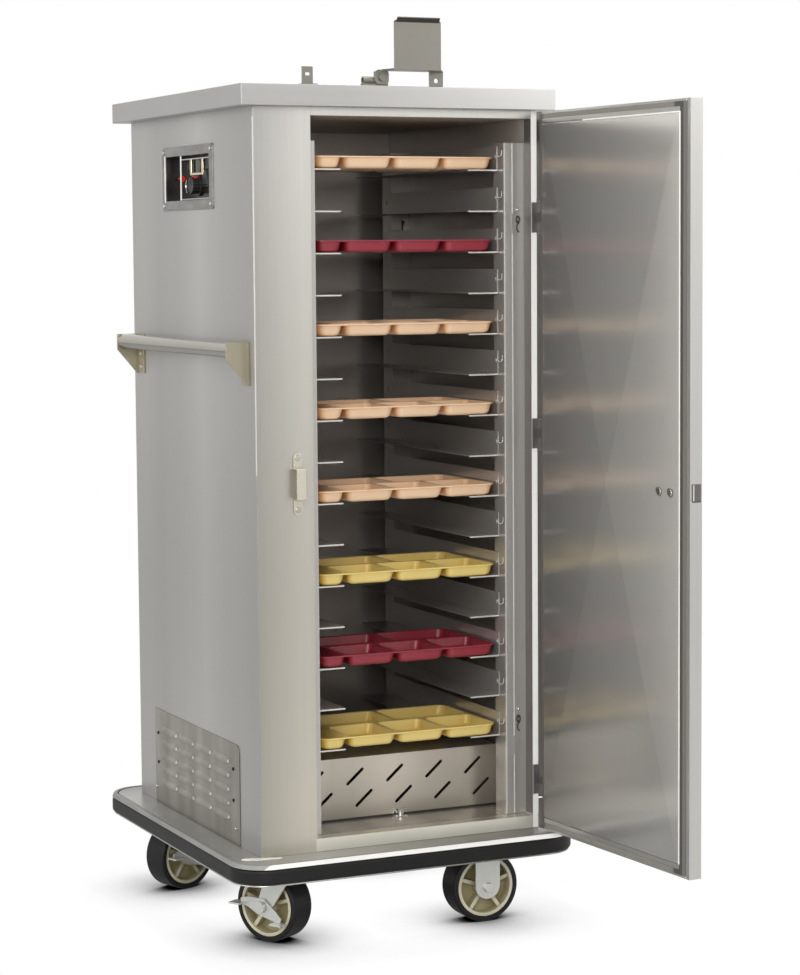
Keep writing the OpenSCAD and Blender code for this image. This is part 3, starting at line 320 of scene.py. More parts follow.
# Painted shade: the strike's left side, the corners of strike, brackets and louvres, and the
# underside of the tube.
steel("strike_steel", (0.66, 0.63, 0.53), "Z", 0.25, 0.7, 0.1, 0.004, 0,
      cloud=20, tilt=("X", -0.9, -0.3, 0.42, 1.0), nook=(0.006, 0.4))
steel("gold_steel", (0.39, 0.355, 0.265), "Z", 0.28, 0.7, 0.06, 0.003, 0,
      cloud=9, nook=(0.006, 0.45))
steel("tube_steel", (0.47, 0.455, 0.41), "Y", 0.14, 1.0, 0.04, 0.01,
      tilt=("Z", -0.4, -0.75, 1.0, 0.6))
steel("flap_steel", (0.235, 0.225, 0.20), "Z", 0.32, 0.6, 0.05, 0.01, 0.01,
      slopes=[("Z", 1.5755, 1.5765, 1.0, 0.3)])
steel("vent_steel", (0.30, 0.285, 0.255), "Z", 0.3, 0.6, 0.2, 0.02, cloud=22,
      nook=(0.014, 0.35))
steel("bezel_steel", (0.26, 0.255, 0.245), "Y", 0.25, 0.7, 0.2, 0.01, cloud=60)
steel("box_steel", (0.05, 0.046, 0.044), "Z", 0.25, 0.6, 0.2)
steel("dark_steel", (0.15, 0.142, 0.14), "Z", 0.4, 0.5, 0.05)
steel("gold_chrome", (0.80, 0.72, 0.52), "Z", 0.1, 1.0, 0.1)
steel("element_sheath", (0.05, 0.048, 0.045), "X", 0.45, 0.6, 0.1)
print("with the fittings", len(finishes))

# %% [markdown]
# ### Lines of light
# A folded edge turns through every direction, so a part of it always mirrors a lamp and shows as a
# bright line. The thin strips that stand for such edges are painted highlights: nearly white and
# hardly metallic, so that they stay bright from every side. The deck's edge strip is also painted
# darker along its sides and back.

# %% Lines of light
steel("bright_trim", (0.96, 0.96, 0.93), "Z", 0.4, 0.0, 0.02, 0.0, 0)
steel("dull_trim", (0.50, 0.495, 0.47), "Z", 0.3, 0.7, 0.05, 0.0, 0)
steel("edge_trim", (0.97, 0.97, 0.95), "X", 0.4, 0.0, 0.1, 0.0, 0, cloud=14,
      slopes=[("Y", -0.3642, -0.3625, 0.95, 0.27)])
steel("slide_nose", (0.72, 0.71, 0.68), "X", 0.25, 0.5, 0.02)
print("with the lines", len(finishes))

# %% [markdown]
# ### Moulded plastic, rubber and vinyl
# Bumper, treads, wheels and trays come out of a mould. They share one recipe: an even colour with a
# slow cloudy change, a roughness that varies a little, and a fine pebbled surface. In corners,
# where light is caught between two walls, pale plastic gets painted shade: its own colour is
# painted deeper instead of grey.


# %% Plastic and rubber
def moulded(name, colour, rough=0.45, cloud=0.08, grain=600, bump=0.15, shine=0.5,
            nook=0.0):
    """A moulded skin. Cloud is the slow change of tone, grain and bump the pebbles' fineness and
    depth, and nook the strength of painted shade in corners."""
    material, tree, shader = new_material(name)
    coords = add(tree, "TexCoord").outputs["Object"]
    clouds = noise(tree, coords, 14, detail=3)
    pebbles = noise(tree, coords, grain, detail=2)
    level = ranged(tree, clouds, 1 - cloud, 1 + cloud, 0.3, 0.7)
    tone = add(tree, "HueSaturation", [("Value", level)], [("Color", (*colour, 1))]).outputs[0]
    if nook:
        open_air = add(tree, "AmbientOcclusion", [], [("Distance", 0.03)]).outputs["AO"]
        deep = add(tree, "Gamma", [("Color", tone)], [("Gamma", nook)]).outputs[0]
        shaded = add(tree, "MixRGB", [("Fac", ranged(tree, open_air, 0, 1, 0.35, 0.95)),
                                      ("Color1", deep), ("Color2", tone)])
        tone = shaded.outputs[0]
    tree.links.new(tone, shader.inputs["Base Color"])
    tree.links.new(ranged(tree, pebbles, rough - 0.06, rough + 0.06, 0.3, 0.7),
                   shader.inputs["Roughness"])
    shader.inputs["Specular IOR Level"].default_value = shine
    bumped = add(tree, "Bump", [("Height", pebbles)],
                 [("Strength", bump), ("Distance", 0.0003)])
    tree.links.new(bumped.outputs[0], shader.inputs["Normal"])
    finishes[name] = material


# %% Vinyl, rubber, plastic and glass
moulded("bumper_vinyl", (0.009, 0.009, 0.009), 0.45, 0.2, 500, 0.1, 0.25)
moulded("tread_rubber", (0.008, 0.0075, 0.0095), 0.42, 0.2, 500, 0.1, 0.3)
moulded("wheel_core", (0.66, 0.63, 0.49), 0.4, 0.05, 500, 0.1, 0.5, 2.6)
moulded("black_plastic", (0.02, 0.02, 0.021), 0.35, 0.1)
moulded("lamp_red", (0.8, 0.03, 0.02), 0.12, 0.05, 300, 0.02)
moulded("dark_glass", (0.012, 0.012, 0.012), 0.12, 0.1, 300, 0.0, 0.8)
moulded("sealant", (0.66, 0.63, 0.56), 0.4, 0.4, 200, 0.4)
moulded("tray_peach", (0.84, 0.60, 0.40), 0.35, 0.03, 500, 0.05, 0.5, 2.0)
moulded("tray_cranberry", (0.30, 0.03, 0.05), 0.32, 0.04, 500, 0.05, 0.5, 1.5)
moulded("tray_yellow", (0.80, 0.63, 0.22), 0.35, 0.03, 500, 0.05, 0.5, 2.0)
print("all finishes", len(finishes))

# %% [markdown]
# ## Pieces
# A solid from a CAD tool has edges of radius zero, and no real edge is like
# that. The light on a folded or machined edge is what shows the metal. So most
# pieces are copies of the solids: the copy's loose triangles are merged, flat
# faces joined up, and each sharp edge gets a small round.


# %% Make a piece from a bmesh
def piece(name, bm, body, slot, stands_for=(), sharp=32, look=None):
    """Turns a finished bmesh into a piece that rides on a body."""
    mesh = bpy.data.meshes.new(name)
    bm.to_mesh(mesh)
    bm.free()
    mesh.materials.append(finishes[look or slot])
    mesh.shade_smooth()
    mesh.set_sharp_from_angle(angle=math.radians(sharp))
    made = bpy.data.objects.new(name, mesh)
    bpy.context.scene.collection.objects.link(made)
    weighted = made.modifiers.new("flat faces lead", "WEIGHTED_NORMAL")
    weighted.keep_sharp = True
    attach(made, body)
    if stands_for:
        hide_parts(*stands_for)
    print(name, len(mesh.polygons), "faces")


def merged(node):
    """A clean bmesh copy of a node: no double points, flat faces joined."""
    bm = bmesh.new()
    bm.from_mesh(nodes[node].data)
    bmesh.ops.remove_doubles(bm, verts=bm.verts, dist=0.02 * MM)
    bmesh.ops.dissolve_limit(bm, angle_limit=math.radians(0.5), verts=bm.verts,
                             edges=bm.edges, delimit=set())
    return bm


def soften(node, width, look=None):
    """A copy of a node with every edge sharper than 35 degrees rounded."""
    bm = merged(node)
    edges = [e for e in bm.edges if len(e.link_faces) == 2
             and e.calc_face_angle(0) > math.radians(35)]
    bmesh.ops.bevel(bm, geom=edges, offset=width * MM, offset_type="OFFSET",
                    segments=2, profile=0.5, affect="EDGES", material=-1,
                    clamp_overlap=False, loop_slide=True)
    piece(node + "_look", bm, body_of[node], slot_of[node], [node], look=look)


# %% [markdown]
# ### Rounded copies
# How round an edge is tells how it was made. A folded sheet has about half a
# millimetre, a bent deck or a fork more, and a bumper of vinyl most. A solid
# without an entry here is made in another way below.

# %% Radius of each solid, in millimetres
radii = {
    "base_deck": 1.5, "bumper": 1.0, "side_left": 0.55, "side_right": 0.55,
    "back_panel": 0.5, "front_frame": 0.5, "roof_cap": 0.9, "liner": 0.4,
    "liner_floor": 0.5, "rack_left": 0.5, "rack_right": 0.5, "slides_left": 0.4,
    "slides_right": 0.4, "baffle_box": 0.4, "display_window": 0.6,
    "heater_element": 0.3, "louver_panel": 0.3, "body_screws": 0.3,
    "control_box": 0.3, "control_bezel": 0.5, "pilot_lamps": 0.3,
    "handle_brackets": 0.6, "handle_tube": 0.5, "strike": 0.6, "hinge_leaves": 0.5,
    "hinge_pins": 0.4, "roof_brackets": 0.5, "caster_plates": 0.8,
    "forks_rigid": 0.7, "thermostat_knob": 0.5, "power_rocker": 0.6,
    "door_shell": 0.5, "door_gasket": 0.3, "door_hinge_leaves": 0.5,
    "latch_body": 0.5, "latch_screws": 0.5, "latch_lever": 0.8, "latch_bolt": 0.5,
    "transport_flap": 0.6, "fork_fl": 0.7, "fork_rl": 0.7, "brake_fl": 0.5,
    "brake_rl": 0.5,
}
for corner in ("fl", "fr", "rl", "rr"):
    radii["tread_" + corner] = 0.5
    radii["core_" + corner] = 0.8
print("rounded", len(radii))

# %% Copies, some with a look of their own
looks = {
    "hinge_leaves": "dark_steel", "door_hinge_leaves": "dark_steel",
    "hinge_pins": "dark_steel", "louver_panel": "vent_steel",
    "handle_brackets": "gold_steel", "handle_tube": "tube_steel",
    "transport_flap": "flap_steel", "roof_brackets": "flap_steel",
    "control_box": "box_steel", "roof_cap": "cap_steel", "door_shell": "shell_steel",
    "control_bezel": "bezel_steel", "body_screws": "screw_steel",
    "display_window": "dark_glass", "strike": "strike_steel", "liner_floor": "pan_steel",
}
for node, radius in radii.items():
    soften(node, radius, looks.get(node))

# %% [markdown]
# ### The meal trays
# Each tray is one moulded sheet, about two millimetres thick: a flat rim, and
# six wells that hang below it with sloping sides and round floors. It is made
# as a mould maker would cut it. A plate with round corners is cut along the
# middle of each rib. Every cell is inset by half a rib, pushed down and
# narrowed. Then the corners and the floor edges are rounded.


# %% Sizes of a tray, in millimetres
tray_wide, tray_deep, tray_height = 342, 222, 21
margin, rib, cutlery, front_row = 9, 8, 41, 100
corner_round, wall_round, floor_round, lip_round = 20, 10, 5, 1.6
wall_taper, hem_drop, sheet = 9, 2.4, 1.8


# %% Cut a plate into its six cells
def cut(bm, faces, point, normal):
    """Cuts some faces along a plane and returns the pieces on each side."""
    geom = {g for f in faces for g in (f, *f.edges, *f.verts)}
    done = bmesh.ops.bisect_plane(bm, geom=list(geom), plane_co=point, plane_no=normal)
    parts = [g for g in done["geom"] if isinstance(g, bmesh.types.BMFace)]
    side = Vector(normal)
    low = [f for f in parts if (f.calc_center_median() - Vector(point)).dot(side) < 0]
    return low, [f for f in parts if f not in low]


def tray_cells(bm):
    """The narrow cell for cutlery is on the left, three are in front and two behind."""
    bmesh.ops.create_grid(bm, x_segments=1, y_segments=1, size=0.5)
    bmesh.ops.scale(bm, vec=(tray_wide * MM, tray_deep * MM, 1), verts=bm.verts)
    bmesh.ops.bevel(bm, geom=bm.verts[:], offset=corner_round * MM, segments=5, profile=0.5,
                    affect="VERTICES", material=-1)
    wide, deep = tray_wide - 2 * margin, tray_deep - 2 * margin
    left, rest = cut(bm, bm.faces[:], ((-wide / 2 + cutlery + rib / 2) * MM, 0, 0), (1, 0, 0))
    near, far = cut(bm, rest, (0, (-deep / 2 + front_row + rib / 2) * MM, 0), (0, 1, 0))
    x0 = -wide / 2 + cutlery + rib
    room = wide - cutlery - rib
    third = (room - 2 * rib) / 3
    cells = [left]
    for i in range(2):
        one, near = cut(bm, near, ((x0 + (i + 1) * (third + rib) - rib / 2) * MM, 0, 0),
                        (1, 0, 0))
        cells.append(one)
    cells += [near, *cut(bm, far, ((x0 + room / 2) * MM, 0, 0), (1, 0, 0))]
    return [c[0] for c in cells]


# %% Press the wells
def press_wells(bm, cells):
    """Pushes each cell down inside its rim and narrows its floor."""
    bmesh.ops.inset_individual(bm, faces=cells, thickness=rib / 2 * MM,
                               use_even_offset=True)
    for cell in cells:
        middle = cell.calc_center_bounds()
        bottom = bmesh.ops.extrude_discrete_faces(bm, faces=[cell])["faces"][0]
        bmesh.ops.translate(bm, vec=(0, 0, -(tray_height - 2) * MM), verts=bottom.verts)
        span = [max(v.co[k] for v in bottom.verts) - min(v.co[k] for v in bottom.verts)
                for k in (0, 1)]
        bmesh.ops.scale(bm, vec=(1 - wall_taper * MM / span[0], 1 - wall_taper * MM / span[1], 1),
                        space=Matrix.Translation(-middle), verts=bottom.verts)


# %% Round what the mould rounds
def round_off(bm, wanted, angle, size, steps):
    """Bevels the edges that are sharper than an angle and pass a test."""
    bm.normal_update()
    edges = [e for e in bm.edges if wanted(*(v.co.z for v in e.verts))
             and e.calc_face_angle(0) > math.radians(angle)]
    bmesh.ops.bevel(bm, geom=edges, offset=size * MM, segments=steps, profile=0.5,
                    affect="EDGES", material=-1)


def tray_sheet():
    """The finished sheet, standing on Z = 0."""
    bm = bmesh.new()
    press_wells(bm, tray_cells(bm))
    round_off(bm, lambda a, b: abs(a - b) > 5 * MM, 40, wall_round, 4)
    deep_z = min(v.co.z for v in bm.verts) + 0.1 * MM
    round_off(bm, lambda a, b: a < deep_z and b < deep_z, 30, floor_round, 3)
    round_off(bm, lambda a, b: abs(a) < 1e-6 and abs(b) < 1e-6, 30, lip_round, 2)
    border = [e for e in bm.edges if e.is_boundary]
    done = bmesh.ops.extrude_edge_only(bm, edges=border)
    hem = [v for v in done["geom"] if isinstance(v, bmesh.types.BMVert)]
    bmesh.ops.translate(bm, vec=(0, 0, -hem_drop * MM), verts=hem)
    bmesh.ops.recalc_face_normals(bm, faces=bm.faces)
    bmesh.ops.solidify(bm, geom=bm.faces[:], thickness=sheet * MM)
    bmesh.ops.translate(bm, vec=(0, 0, tray_height * MM), verts=bm.verts)
    return bm


# %% Lay the trays on their slides
for node in sorted(n for n in nodes if n.startswith("tray_")):
    low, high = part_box(node)
    bm = tray_sheet()
    top = max(v.co.z for v in bm.verts)
    bmesh.ops.translate(bm, vec=((low.x + high.x) / 2, (low.y + high.y) / 2,
                                 high.z - top), verts=bm.verts)
    piece(node + "_look", bm, body_of[node], slot_of[node], [node], sharp=50)

# %% [markdown]
# ### The door's inner panel
# Large flat sheet drums and buckles, so a maker presses a shallow cross into it:
# four long triangles that meet a few millimetres proud in the middle. In a
# satin mirror those small tilts show as four different greys. One rectangle is
# poked at its centre, the centre is lifted, and its border is folded back.

# %% Cross-broken panel
# Written for the closed door, in metres, and swung open with it.
door_angle = math.radians(94.3)
pivot = Vector((0.2742, -0.3289, 0))
swing = (Matrix.Translation(pivot) @ Matrix.Rotation(door_angle, 4, "Z")
         @ Matrix.Translation(-pivot))
door_left, door_back, door_foot = -0.181, -0.3076, 0.1767
panel_left, panel_foot = door_left + 0.0293, door_foot + 0.0203
panel_w, panel_h, panel_rise = 0.4095, 1.2135, 0.0055
bm = bmesh.new()
bmesh.ops.create_grid(bm, x_segments=1, y_segments=1, size=0.5)
bmesh.ops.scale(bm, vec=(panel_w, panel_h, 1), verts=bm.verts)
poked = bmesh.ops.poke(bm, faces=bm.faces[:])
bmesh.ops.translate(bm, vec=(0, 0, panel_rise), verts=poked["verts"])
done = bmesh.ops.extrude_edge_only(bm, edges=[e for e in bm.edges if e.is_boundary])
hem = [v for v in done["geom"] if isinstance(v, bmesh.types.BMVert)]
bmesh.ops.translate(bm, vec=(0, 0, -3.2 * MM), verts=hem)
bmesh.ops.recalc_face_normals(bm, faces=bm.faces)
rims = [e for e in bm.edges if not e.is_boundary and e.calc_face_angle(0) > 1]
bmesh.ops.bevel(bm, geom=rims, offset=2.2 * MM, segments=3, profile=0.5,
                affect="EDGES", material=-1)
bmesh.ops.solidify(bm, geom=bm.faces[:], thickness=1 * MM)
bmesh.ops.rotate(bm, matrix=Matrix.Rotation(-math.pi / 2, 3, "X"), verts=bm.verts)
bmesh.ops.translate(bm, vec=(panel_left + panel_w / 2, door_back + 0.9 * MM,
                             panel_foot + panel_h / 2), verts=bm.verts)
bmesh.ops.transform(bm, matrix=swing, verts=bm.verts)
piece("door_liner_look", bm, "door", slot_of["door_liner"], ["door_liner"], 0.8,
      "door_panel")

# %% [markdown]
# ## Small forms
# These are too thin for the solids, or show only as a line of light: rolled
# noses on the slides, beads on the uprights, a bright edge round the deck, and
# the frame of the window over the controls. Most are bars with rounded edges,
# laid out in millimetres from the boxes of the solids that they lie on.


# %% Places on the solids
def span_of(node):
    """The two corners of a solid's box, in millimetres."""
    low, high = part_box(node)
    return low / MM, high / MM


frame_low, frame_high = span_of("front_frame")
pan_low, pan_high = span_of("liner_floor")
rack_low, rack_high = span_of("rack_right")
side_x, jamb_x = span_of("side_right")[1].x, pan_high.x
front, sill_z, floor_z = frame_low.y, frame_low.z, pan_high.z
first_slide, slide_pitch, slides = 140.7, 71.4, 15
slide_z = [floor_z + first_slide + i * slide_pitch for i in range(slides)]
slide_front, reach, upright = -256, 58, 40
hinge_z = [door_foot / MM + height for height in (81, 696, 1073)]
latch_z, latch_half = 804.8, 14.2
print("slides from", slide_z[0], "to", slide_z[-1])


# %% Bars
def box(bm, low, high):
    """Adds a box between two corners given in millimetres."""
    made = bmesh.ops.create_cube(bm, size=1)["verts"]
    size = [(b - a) * MM for a, b in zip(low, high)]
    middle = [(a + b) / 2 * MM for a, b in zip(low, high)]
    bmesh.ops.scale(bm, vec=size, verts=made)
    bmesh.ops.translate(bm, vec=middle, verts=made)


def bars(name, corners, round_mm, body, slot, look, matrix=None):
    """One piece from many boxes, with rounded edges."""
    bm = bmesh.new()
    for low, high in corners:
        box(bm, low, high)
    bmesh.ops.bevel(bm, geom=bm.edges[:], offset=round_mm * MM, offset_type="OFFSET",
                    segments=2, profile=0.5, affect="EDGES", material=-1)
    if matrix:
        bmesh.ops.transform(bm, matrix=matrix, verts=bm.verts)
    piece(name, bm, body, slot, look=look)


# %% [markdown]
# ### Slides and uprights
# A slide is an angle of sheet with a rolled front edge, so no hand is cut on it.
# Only that nose catches the light in the dark cabinet. Each is one bar across the slide's front,
# with a pale finish that paints its highlight. The two long beads are the folded edges of the
# upright, painted bright as highlights in the same way.

# %% Slides and uprights
noses = []
for z in slide_z:
    for x in (pan_low.x + upright, jamb_x - upright - reach):
        noses.append(((x + 0.5, slide_front - 0.8, z - 2.6),
                      (x + reach - 0.5, slide_front + 1.2, z + 0.1)))
bars("slide_noses", noses, 0.5, "cabinet", "rack_steel", "slide_nose")
bars("upright_beads", [((x, rack_low.y - 1.2, floor_z + 1),
                        (x + wide, rack_low.y + 0.5, rack_high.z - 1))
                       for x, wide in ((rack_low.x - 0.3, 3.5), (230, 2.6))],
     0.6, "cabinet", "rack_steel", "slide_nose")

# %% [markdown]
# ### Lines on the front frame
# The frame is folded at the cabinet's corner, round the opening and at the sill.
# Thin strips lie on those folds and on the stile's face, less than a millimetre proud, so that the
# gasket still closes on them: painted highlights, and a painted lighter face on the sill. Behind
# the stile a dark strip is painted shade in the gap between the liner and the upright.

# %% Lines on the front frame
# The bright strip on the hinge side is broken where a hinge covers it.
strip_back, strip_face = front + 0.4, front - 0.15
hinge_half, wing_half = 26, 32
breaks = [e for z in hinge_z for e in (z - hinge_half - 0.5, z + hinge_half + 0.5)]
ends = [sill_z + 0.7, *breaks, frame_high.z - 0.5]
bars("stile_face", [((jamb_x + 0.2, strip_face, low), (side_x - 0.1, strip_back, high))
                    for low, high in zip(ends[::2], ends[1::2])], 0.2,
     "cabinet", "frame_steel", "bright_trim")
bars("corner_line", [((-side_x - 1.4, front - 0.7, 820), (-side_x + 1, front + 0.1, 1418))],
     0.25, "cabinet", "frame_steel", "slide_nose")
bars("sill_face", [((-163.5, strip_face, sill_z + 0.7), (jamb_x - 0.4, strip_back, floor_z - 0.6))],
     0.1, "cabinet", "frame_steel", "sill_steel")
bars("jamb_shade", [((jamb_x - 0.9, front + 0.6, floor_z + 2),
                     (jamb_x - 0.2, rack_low.y - 1.6, frame_high.z - 2.5))],
     0.15, "cabinet", "liner_steel", "dark_steel")

# %% [markdown]
# ### Wings of the hinges
# Each hinge has a flat wing on the stile and one on the door's edge. The one on
# the door is in two parts, above and below the barrel. They are written for the
# closed door, and the matrix called swing opens them with it.

# %% Wings of the hinges
plates, wings = [], []
for z in hinge_z:
    plates += [((jamb_x + 2.2, front - 0.3, z - hinge_half), (side_x, strip_back, z + hinge_half)),
               ((side_x - 0.2, front - 0.3, z - wing_half), (279.5, strip_back, z + wing_half))]
    for low_z, high_z in ((z - hinge_half, z - 9.4), (z + 9.4, z + hinge_half)):
        wings.append(((261.4, -314.5, low_z), (275.2, -311.0, high_z)))
bars("hinge_wings", plates, 0.3, "cabinet", slot_of["hinge_leaves"], "dark_steel")
bars("hinge_door_wings", wings, 0.4, "door", slot_of["door_hinge_leaves"], "dark_steel", swing)

# %% [markdown]
# ### Lines of the door's border
# The folds round the inner panel catch the light, and so does the edge of the bolt's opening in the
# dark face of the lock; these lines are painted highlights. All are bars, written for the closed
# door and swung with it.

# %% Lines of the door's border
fold_face = -308.2
bars("door_folds", [((-154.4, fold_face, 197), (-151.8, -306.2, 1411)),
                    ((-151.8, fold_face, 1409.2), (129, -306.3, 1411.4)),
                    ((-170.4, fold_face, 178), (-169.2, -306.9, 1429))],
     0.3, "door", slot_of["door_shell"], "bright_trim", swing)
bars("lock_face", [((-181.8, -328.5, latch_z - latch_half - 0.1),
                    (-180.2, -310.3, latch_z + latch_half))],
     0.8, "door", slot_of["latch_bolt"], "dark_steel", swing)
bars("lock_line", [((-181.98, -314.8, latch_z - 12.8), (-181.5, -313.4, latch_z + 12.7))],
     0.2, "door", slot_of["latch_bolt"], "bright_trim", swing)

# %% [markdown]
# ### Heads of the latch screws
# Two round heads hold the latch from inside. A cylinder gets a domed edge, and a
# dark washer ring sits behind each.


# %% Screw heads
def disc(bm, centre, across, thick, round_mm):
    """A disc that faces along Y, with a rounded rim."""
    turn = Matrix.Rotation(math.pi / 2, 4, "X")
    done = bmesh.ops.create_cone(bm, cap_ends=True, segments=28, radius1=across / 2 * MM,
                                 radius2=across / 2 * MM, depth=thick * MM,
                                 matrix=Matrix.Translation(Vector(centre) * MM) @ turn)
    front_y = max(v.co.y for v in done["verts"]) - 1e-6
    rim = {e for v in done["verts"] for e in v.link_edges
           if all(w.co.y > front_y for w in e.verts)}
    bmesh.ops.bevel(bm, geom=list(rim), offset=round_mm * MM, segments=3, profile=0.5,
                    affect="EDGES", material=-1)


head_x, head_y, head_z = (-98.8, -129.4), -305.2, 801.5
for name, across, deep, look in (("latch_washers", 14.5, 0.0, "dark_steel"),
                                 ("latch_heads", 11.5, 0.9, "bright_steel")):
    bm = bmesh.new()
    for x in head_x:
        disc(bm, (x, head_y + deep, head_z), across, 2.2, 0.8)
    bmesh.ops.transform(bm, matrix=swing, verts=bm.verts)
    piece(name, bm, "door", slot_of["latch_screws"], look=look)
bars("latch_slots", [((x - 4.6, head_y + 1.8, head_z - 0.7), (x + 4.6, head_y + 2.1, head_z + 0.7))
                     for x in head_x], 0.1, "door", slot_of["latch_screws"],
     "dark_steel", swing)

# %% [markdown]
# ### Wire hooks and clips
# A wire is a small circle that is spun about a point: a full turn makes a ring
# and a part of a turn makes the tail of a hook.


# %% Wires
def wire(bm, centre, radius, start, sweep, thick, tall=1.0):
    """A round wire along an arc in the plane of X and Z; angles in degrees."""
    a = math.radians(start)
    out, ahead = Vector((math.cos(a), 0, math.sin(a))), Vector((-math.sin(a), 0, math.cos(a)))
    middle = Vector(centre) * MM
    facing = Matrix((out, Vector((0, 1, 0)), ahead)).transposed().to_4x4()
    before = set(bm.verts)
    circle = bmesh.ops.create_circle(
        bm, cap_ends=False, segments=8, radius=thick / 2 * MM,
        matrix=Matrix.Translation(middle + out * radius * MM) @ facing)["verts"]
    edges = {e for v in circle for e in v.link_edges}
    bmesh.ops.spin(bm, geom=[*circle, *edges], cent=middle, axis=(0, -1, 0),
                   angle=math.radians(sweep), steps=max(4, int(sweep / 15)),
                   use_merge=sweep >= 360)
    made = [v for v in bm.verts if v not in before]
    bmesh.ops.scale(bm, vec=(1, 1, tall), space=Matrix.Translation(-middle), verts=made)
    bmesh.ops.holes_fill(bm, edges=[e for e in bm.edges if e.is_boundary], sides=8)
    bmesh.ops.recalc_face_normals(bm, faces=bm.faces)


# %% [markdown]
# ### Hooks on the right upright
# Two black wire hooks hold the rack in its keyholes. Each is a full ring with an
# arc below it. A small plate covers the keyhole and a stud sits above it.

# %% Hooks on the right upright
hooks = ((240.3, 1246.6), (238.2, 364.4))
studs = ((240.0, 1263.6), (238.6, 381.4))
keyholes = ((234.5, 1247.5), (234.5, 325.5))
bm = bmesh.new()
for x, z in hooks:
    wire(bm, (x, rack_low.y - 2.6, z), 3.4, 0, 360, 2.2, 1.5)
    wire(bm, (x + 6.2, rack_low.y - 2.6, z - 14), 8.6, 118, 126, 2.2)
piece("wire_hooks", bm, "cabinet", "rack_steel", look="black_plastic")
bars("hook_plates", [((x - 6, rack_low.y - 1.9, z - 24), (x + 6, rack_low.y - 1.1, z + 9))
                     for x, z in keyholes], 0.2, "cabinet", "rack_steel", "rack_steel")
bm = bmesh.new()
for x, z in studs:
    place = Vector((x, rack_low.y - 1.6, z)) * MM
    bmesh.ops.create_uvsphere(bm, u_segments=16, v_segments=10, radius=2.4 * MM,
                              matrix=Matrix.Translation(place))
piece("hook_studs", bm, "cabinet", "rack_steel", look="bright_steel")

# %% [markdown]
# ### Clips over the slides
# A bent wire above each slide keeps a tray from tipping when it is drawn out. It
# is half a ring with two straight legs, high enough to let a tray's rim pass.

# %% Clips over the slides
clip_x, clip_y, clip_wide, clip_thick = 207, -277, 9.2, 1.3
clip_low, clip_high = 26.6, 33
bm = bmesh.new()
for z in slide_z:
    wire(bm, (clip_x, clip_y, z + clip_low), clip_wide / 2, 180, 180, clip_thick)
    for x in (clip_x - clip_wide / 2, clip_x + clip_wide / 2):
        box(bm, (x - clip_thick / 2, clip_y - clip_thick / 2, z + clip_low),
            (x + clip_thick / 2, clip_y + clip_thick / 2, z + clip_high))
piece("slide_clips", bm, "cabinet", "rack_steel", look="slide_nose")

# %% [markdown]
# ### The window over the controls
# A bright frame with two posts stands in the recess, and a gilt loop holds the thermometer's dark
# glass. The posts carry the painted highlight finish of the lines of light.

# %% Window frame
bars("window_posts", [((-268.4, 112.5, 1283), (-267.4, 117.3, 1366)),
                      ((-266, 36.2, 1284), (-265, 41.2, 1365))],
     0.3, "cabinet", slot_of["control_bezel"], "bright_trim")
bars("window_rails", [((-265.8, -106, z), (-265, 33.6, z + 2)) for z in (1356, 1286)],
     0.3, "cabinet", slot_of["control_bezel"], "dull_trim")
loop_back, loop_face = -243.4, -244.6
bars("gauge_loop", [((loop_face, 41.3, 1333), (loop_back, 50.5, 1360)),
                    ((loop_face, -16.8, 1333), (loop_back, -7.3, 1360)),
                    ((loop_face, -14.8, 1330), (loop_back, 48.5, 1334))],
     0.5, "cabinet", slot_of["display_window"], "gold_chrome")

# %% [markdown]
# ### Knob, lamp and baffle
# The knob's chrome skirt is drawn only where it catches the light, as an arc of bright wire: a
# painted highlight which turns with the knob. A red lens covers the lamp, and a black bar is the
# shadow gap at the baffle's foot, too narrow for the renderer to darken by itself.

# %% Knob rim, lamp lens and the gap at the baffle
knob_low, knob_high = span_of("thermostat_knob")
baffle_low, baffle_high = span_of("baffle_box")
bm = bmesh.new()
wire(bm, (0, 0, 0), 17.2, -50, 85, 2.0)
knob_face = Vector((knob_low.x - 0.5, (knob_low.y + knob_high.y) / 2,
                    (knob_low.z + knob_high.z) / 2)) * MM
bmesh.ops.transform(bm, matrix=Matrix.Translation(knob_face)
                    @ Matrix.Rotation(math.pi / 2, 4, "Z"), verts=bm.verts)
piece("knob_rim", bm, "thermostat", slot_of["thermostat_knob"], look="bright_steel")
bars("lamp_lens", [((-250, 13, 1313.5), (-243, 29, 1328))], 1.5, "cabinet",
     slot_of["pilot_lamps"], "lamp_red")
bars("floor_gap", [((baffle_low.x + 0.4, baffle_low.y - 1.6, floor_z - 0.2),
                    (baffle_high.x - 0.6, baffle_low.y - 0.1, floor_z + 3.4))],
     0.3, "cabinet", slot_of["baffle_box"], "black_plastic")

# %% [markdown]
# ### Sealant at the foot
# The corner of the frame is sealed to the deck with a few smeared drops.

# %% Sealant
drop_height = 1.6
bm = bmesh.new()
for x, y, wide, deep in ((-270, -311, 15, 8), (-283, -306, 13, 7), (-256, -314, 16, 6),
                         (-241, -318, 11, 4), (-292, -303, 8, 4)):
    place = Vector((x, y, sill_z + 0.1)) * MM
    bmesh.ops.create_uvsphere(bm, u_segments=18, v_segments=10, radius=1 * MM,
                              matrix=Matrix.Translation(place)
                              @ Matrix.Diagonal((wide, deep, drop_height, 1)))
piece("sealant_drops", bm, "cabinet", "frame_steel", look="sealant")

# %% [markdown]
# ### The bright edge of the deck
# The deck's rounded edge catches the light as a bright strip above the bumper, and that strip is
# painted: a ring with a pale finish. It is made as a plate with round corners that is inset, its
# middle is taken out, and the rest is pushed down and flared at the foot.

